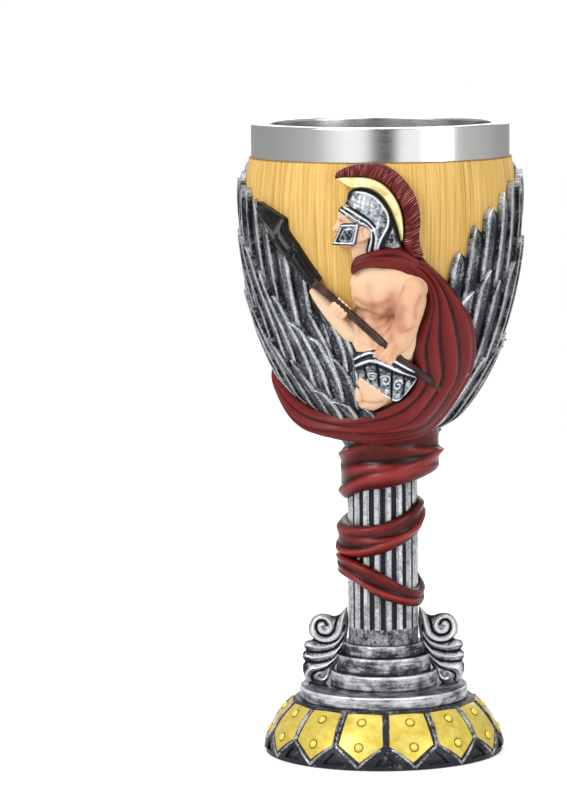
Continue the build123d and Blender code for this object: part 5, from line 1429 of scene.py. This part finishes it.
def scrollPiece(side, name, nodeName):
    rows, cols = 300, 90
    line = curveThrough(scroll["outline"] + scroll["outline"][:1], rows + 1)[:-1]
    s = np.linspace(0.02, 1, cols)[None, :, None]
    flat = np.array(scroll["centre"]) + (line[:, None] - np.array(scroll["centre"])) * s
    rise, light = drawnFlat(flat, scroll["lines"])
    s = s[..., 0]
    h = 0.3 + scroll["depth"] * np.sqrt(np.clip(1 - s ** 3.4, 0, 1)) + rise * (1 - s ** 8)
    h = np.clip(h, 0.3, 2.9)
    verts = []
    for face in (-1, 1):
        verts.append(np.stack([side * flat[..., 0], face * h, flat[..., 1]], -1).reshape(-1, 3))
    x, z = scroll["centre"]
    verts += [np.array([[side * x, face * h[:, 0].mean(), z]]) for face in (-1, 1)]
    high = np.clip(0.44 + light - 0.2 * s ** 10, 0, 1).ravel()
    piece = newPiece(name, np.vstack(verts) * 0.001, patchFaces(rows, cols), "goblet", "antique_silver",
                     {"high": np.concatenate([high, high, [0.5, 0.5]])})
    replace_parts(piece, nodeName)


scrollPiece(-1, "scroll_bracket_left", "scroll_left")
scrollPiece(1, "scroll_bracket_right", "scroll_right")


# azimuth of a plaque's middle, and a place on a node's surface met from outside
def plaqueMiddle(k):
    low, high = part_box("plaque_%02d" % (k + 1))
    middle = (np.array(low) + np.array(high)) / 2
    return math.atan2(middle[0], -middle[1])


def seat(nodeName, start, inward):
    found, place, normal, _ = frame["nodes"][nodeName].ray_cast(start, inward)
    return (place, normal) if found else (None, None)


plaqueCount = 14

# silver edging down both sides of every plaque and round its point
edging = {"line": [(5.72, 10.1), (6.45, 5.0), (7.05, -0.1), (5.4, -1.9), (3.6, -3.6), (1.8, -5.1),
                   (0.0, -6.5)],
          "half": 0.40, "shoulder": (33.7, 7.1), "tilt": 37.0}


def footEdging():
    parts = []
    tilt = math.radians(edging["tilt"])
    for k in range(plaqueCount):
        az = plaqueMiddle(k)
        right = Vector((math.cos(az), math.sin(az), 0))
        out = Vector((math.sin(az), -math.cos(az), 0))
        normal = out * math.cos(tilt) + Vector((0, 0, math.sin(tilt)))
        up = Vector((0, 0, math.cos(tilt))) - out * math.sin(tilt)
        middle = out * edging["shoulder"][0] + Vector((0, 0, edging["shoulder"][1]))
        for side in (-1, 1):
            points = []
            for x, y in np.array(edging["line"]):
                start = (middle + right * (side * x) + up * y + normal * 8) * 0.001
                place, _ = seat("foot", start, -normal)
                if place is not None:
                    points.append(np.array(place) + np.array(normal) * 0.00008)
            if len(points) > 2:
                parts.append(barParts(points, [edging["half"]] * 3, 40, 8))
    verts, faces = joinParts(parts)
    newPiece("foot_edging", verts, faces, "goblet", "antique_silver", {"high": np.full(len(verts), 0.46)})


footEdging()

# two domed rivets on each plaque
rivet = {"radius": 1.15, "rise": 0.85, "heights": (13.3, 6.6), "sides": 20}


def rivets():
    verts, faces, rim = [], [], []
    for k in range(plaqueCount):
        az = plaqueMiddle(k)
        outward = Vector((math.sin(az), -math.cos(az), 0))
        for height in rivet["heights"]:
            place, normal = seat("plaque_%02d" % (k + 1), outward * 0.06 + Vector((0, 0, height * 0.001)),
                                 -outward)
            if place is None:
                continue
            side = normal.cross(Vector((0, 0, 1))).normalized()
            up = normal.cross(side)
            n = len(verts)
            dome = [(math.cos(a), math.sin(a)) for a in np.linspace(0.2, 1.5, 6)]
            profile = [(1.32, 0.0), (1.28, 0.10), (1.05, 0.10)] + dome
            sides = rivet["sides"]
            for i, (r, h) in enumerate(profile):
                wide = r * rivet["radius"]
                for j in range(sides):
                    b = 2 * math.pi * j / sides
                    reach = side * (wide * math.cos(b)) + up * (wide * math.sin(b))
                    verts.append(place + (reach + normal * (h * rivet["rise"] - 0.04)) * 0.001)
                    # rim 0 marks the flat ring at the foot for painted shade, rim 1 the gold dome
                    rim.append(0.0 if i < 3 else 1.0)
            faces += ringFaces(len(profile), sides, n)
            faces.append([n + (len(profile) - 1) * sides + j for j in range(sides)])
            faces.append([n + j for j in reversed(range(sides))])
    newPiece("plaque_rivets", np.array([list(v) for v in verts]), faces, "goblet", "plaque_gold",
             {"rim": rim}, 40)


rivets()
print("base done")


# proud places on the fluted parts, and painted light on the sloping parts, worked out from their own forms
def fromMark(tree, place):
    return mark(tree, "high")


def flutesProud(tree, place):
    _, angle, height = roundVector(tree, place, 1.0, 1.0)
    wave = maths(tree, "COSINE", times(tree, angle, 18.0))
    sunk = times(tree, maths(tree, "MAXIMUM", minus(tree, wave, 0.05), 0.0), 2.2, True)
    fluted = minus(tree, 0.60, times(tree, sunk, 0.75))
    above = maths(tree, "GREATER_THAN", height, 0.0378)
    return plus(tree, times(tree, fluted, above), times(tree, minus(tree, 1.0, above), 0.46))


# painted light: the level rises where the surface faces up
def slopeLitFromAbove(tree, place):
    facing = node(tree, "NewGeometry").outputs["Normal"]
    up = node(tree, "SeparateXYZ", Vector=facing).outputs[2]
    return plus(tree, times(tree, up, 0.12), 0.36)


# turned parts: silver rubbed round over black, with a painted highlight towards the top edge and painted
# shade at the foot and on flats that face up
def turnedFinish(name, nodeName, level):
    made, tree, shader, place = newFinish(name, 0.36, 0.45, specular=0.2)
    low, high = (corner[2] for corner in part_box(nodeName))
    lines, _, height = roundVector(tree, place, 2.4, 1500.0)
    broad, _, _ = roundVector(tree, place, 3.5, 240.0)
    streak = grain(tree, lines, 1.0, 4.0, 0.65)
    band = grain(tree, broad, 1.0, 4.0, 0.65)
    up = node(tree, "SeparateXYZ", Vector=node(tree, "NewGeometry").outputs["Normal"]).outputs[2]
    share = maths(tree, "DIVIDE", minus(tree, height, low), high - low)
    # painted highlight towards the top of each part, painted shade towards its foot and on flats that face up
    edge = ramp(tree, share, [(0.0, 0.10), (0.14, 0.38), (0.55, 0.44), (0.80, 0.50), (0.93, 0.66)])
    edge = minus(tree, edge, times(tree, maths(tree, "GREATER_THAN", up, 0.9), 0.42))
    tone = plus(tree, times(tree, streak, 0.40), times(tree, band, 0.60))
    tone = plus(tree, tone, plus(tree, times(tree, edge, 0.5), level - 0.22))
    stops = [(0.38, (0.020, 0.022, 0.026)), (0.46, (0.10, 0.105, 0.12)), (0.54, (0.38, 0.39, 0.41)),
             (0.66, (0.74, 0.75, 0.77))]
    tree.links.new(ramp(tree, tone, stops), shader.inputs["Base Color"])
    emboss(tree, shader, tone, 0.35, 0.0002)
    return made


finishes = {
    "brushed_steel": steelFinish(),
    "tan_wall": tanFinish(),
    "feather_black": silverOnBlack("feather paint", fromMark, cut=(0.45, 0.96), streaks=(0.22, 2.6),
                                   silver=(0.68, 0.70, 0.73), dark=(0.006, 0.007, 0.010)),
    "helmet_silver": silverOnBlack("helmet paint", fromMark, cut=(0.28, 0.76), silver=(0.72, 0.77, 0.83)),
    "antique_silver": silverOnBlack("antique silver paint", fromMark, cut=(0.30, 0.72),
                                    silver=(0.62, 0.63, 0.65)),
    "cape_red": redFinish(),
    "crest_red": redFinish("crest paint", (0.025, 0.003, 0.003), (0.17, 0.016, 0.015),
                           (0.60, 0.26, 0.24), 0.4),
    "skin": skinFinish(),
    "gold": plainPaint("pale gold paint", [(0.50, 0.42, 0.15), (0.86, 0.77, 0.38), (0.94, 0.90, 0.62)],
                       0.42, 0.15, 260.0),
    "shaft_brown": plainPaint("dark brown paint",
                              [(0.020, 0.009, 0.007), (0.050, 0.022, 0.018), (0.090, 0.050, 0.045)],
                              0.35, 0, 300.0),
    "spear_black": plainPaint("black gloss paint",
                              [(0.002, 0.002, 0.002), (0.005, 0.005, 0.006), (0.02, 0.02, 0.022)],
                              0.25, 0, 250.0),
    "plaque_gold": plainPaint("gilt plaque paint",
                              [(0.55, 0.40, 0.052), (0.67, 0.51, 0.088), (0.76, 0.61, 0.17)],
                              0.30, 0.25, 420.0, 0.1),
}


def shieldFinish():
    made, tree, shader, place = newFinish("worn shield paint", 0.42, 0.15, 0.1)
    axes = node(tree, "SeparateXYZ", Vector=place).outputs
    cloud = grain(tree, place, 95.0, 4.0)
    turned = node(tree, "Mapping", Vector=place, Rotation=(0, math.radians(38), 0),
                  Scale=(420, 420, 2600)).outputs[0]
    scratch = grain(tree, turned, 1.0, 4.0, 0.7)
    base = ramp(tree, cloud, [(0.32, (0.36, 0.27, 0.05)), (0.5, (0.62, 0.50, 0.13)),
                              (0.68, (0.74, 0.68, 0.36))])
    topPale = ramp(tree, times(tree, minus(tree, axes[2], 0.150), 80.0), [(0.0, 0.0), (0.6, 1.0)])
    base = blendColour(tree, topPale, base, (0.66, 0.66, 0.54))
    worn = blendColour(tree, ramp(tree, scratch, [(0.60, 0.0), (0.70, 0.75)]), base, (0.06, 0.055, 0.04))
    edge = ramp(tree, mark(tree, "high"), [(0.2, 1.0), (0.42, 0.0)])
    tree.links.new(blendColour(tree, edge, worn, (0.03, 0.03, 0.025)), shader.inputs["Base Color"])
    emboss(tree, shader, scratch, 0.3, 0.0002)
    return made


finishes["shield_yellow"] = shieldFinish()


def rearHelmetFinish():
    made = silverOnBlack("rear helmet paint", fromMark, cut=(0.30, 0.85), silver=(0.52, 0.54, 0.57))
    tree = made.node_tree
    shader = tree.nodes["Principled BSDF"]
    colour = shader.inputs["Base Color"].links[0].from_socket
    metal = shader.inputs["Metallic"].links[0].from_socket
    opened = ramp(tree, mark(tree, "opened"), [(0.42, 0.0), (0.55, 1.0)])
    skinTone = blendColour(tree, ramp(tree, mark(tree, "pupil"), [(0.55, 0.0), (0.7, 1.0)]),
                           (0.80, 0.50, 0.33), (0.02, 0.012, 0.01))
    tree.links.new(blendColour(tree, opened, colour, skinTone), shader.inputs["Base Color"])
    tree.links.new(times(tree, metal, minus(tree, 1.0, opened)), shader.inputs["Metallic"])
    return made


def rivetFinish():
    made, tree, shader, _ = newFinish("rivet paint", 0.3, 0.25, specular=0.3)
    # dark brown on the ring at the rivet's foot is painted shade round its base; the dome is gold
    tree.links.new(ramp(tree, mark(tree, "rim"), [(0.3, (0.16, 0.10, 0.012)), (0.8, (0.80, 0.64, 0.11))]),
                   shader.inputs["Base Color"])
    return made


# the cape's red again, darker as painted shade for the turns under the bowl, with brighter painted highlights
# on their ridges
woundShadedFinish = redFinish("wound cape shaded paint", (0.012, 0.002, 0.002), (0.088, 0.006, 0.006),
                        (0.27, 0.032, 0.030), 0.27)
ownFinish = {"rear_figure_helmet": rearHelmetFinish(), "plaque_rivets": rivetFinish(),
             **{"cape_wound_" + key: woundShadedFinish for key in turns}}
columnFinish = silverOnBlack("column paint", flutesProud, cut=(0.38, 0.66), silver=(0.60, 0.61, 0.63),
                             grit=0.6)
footFinish = silverOnBlack("foot paint", slopeLitFromAbove, cut=(0.50, 0.86), silver=(0.46, 0.47, 0.49))
turnedLevels = {"capital": -0.08, "step_upper": -0.05, "step_middle": -0.02, "step_lower": 0.05,
                "plinth_disc": 0.03}
carried = {"column": columnFinish, "foot": footFinish,
           **{name: turnedFinish(name + " paint", name, level) for name, level in turnedLevels.items()},
           "bowl_shell": finishes["tan_wall"], "steel_liner": finishes["brushed_steel"]}


def dress(obj, finish):
    if not obj.material_slots:
        obj.data.materials.append(finish)
    for holder in obj.material_slots:
        holder.material = finish


slotOf = {entry["node"]: entry["material_slot"] for entry in frame["record"]["subparts"]}
for name, obj in frame["nodes"].items():
    dress(obj, carried.get(name) or finishes[slotOf[name]])
for obj in bpy.data.objects:
    if obj.type == "MESH" and "pieceSlot" in obj:
        dress(obj, ownFinish.get(obj.name) or finishes[obj["pieceSlot"]])
print("finishes done")
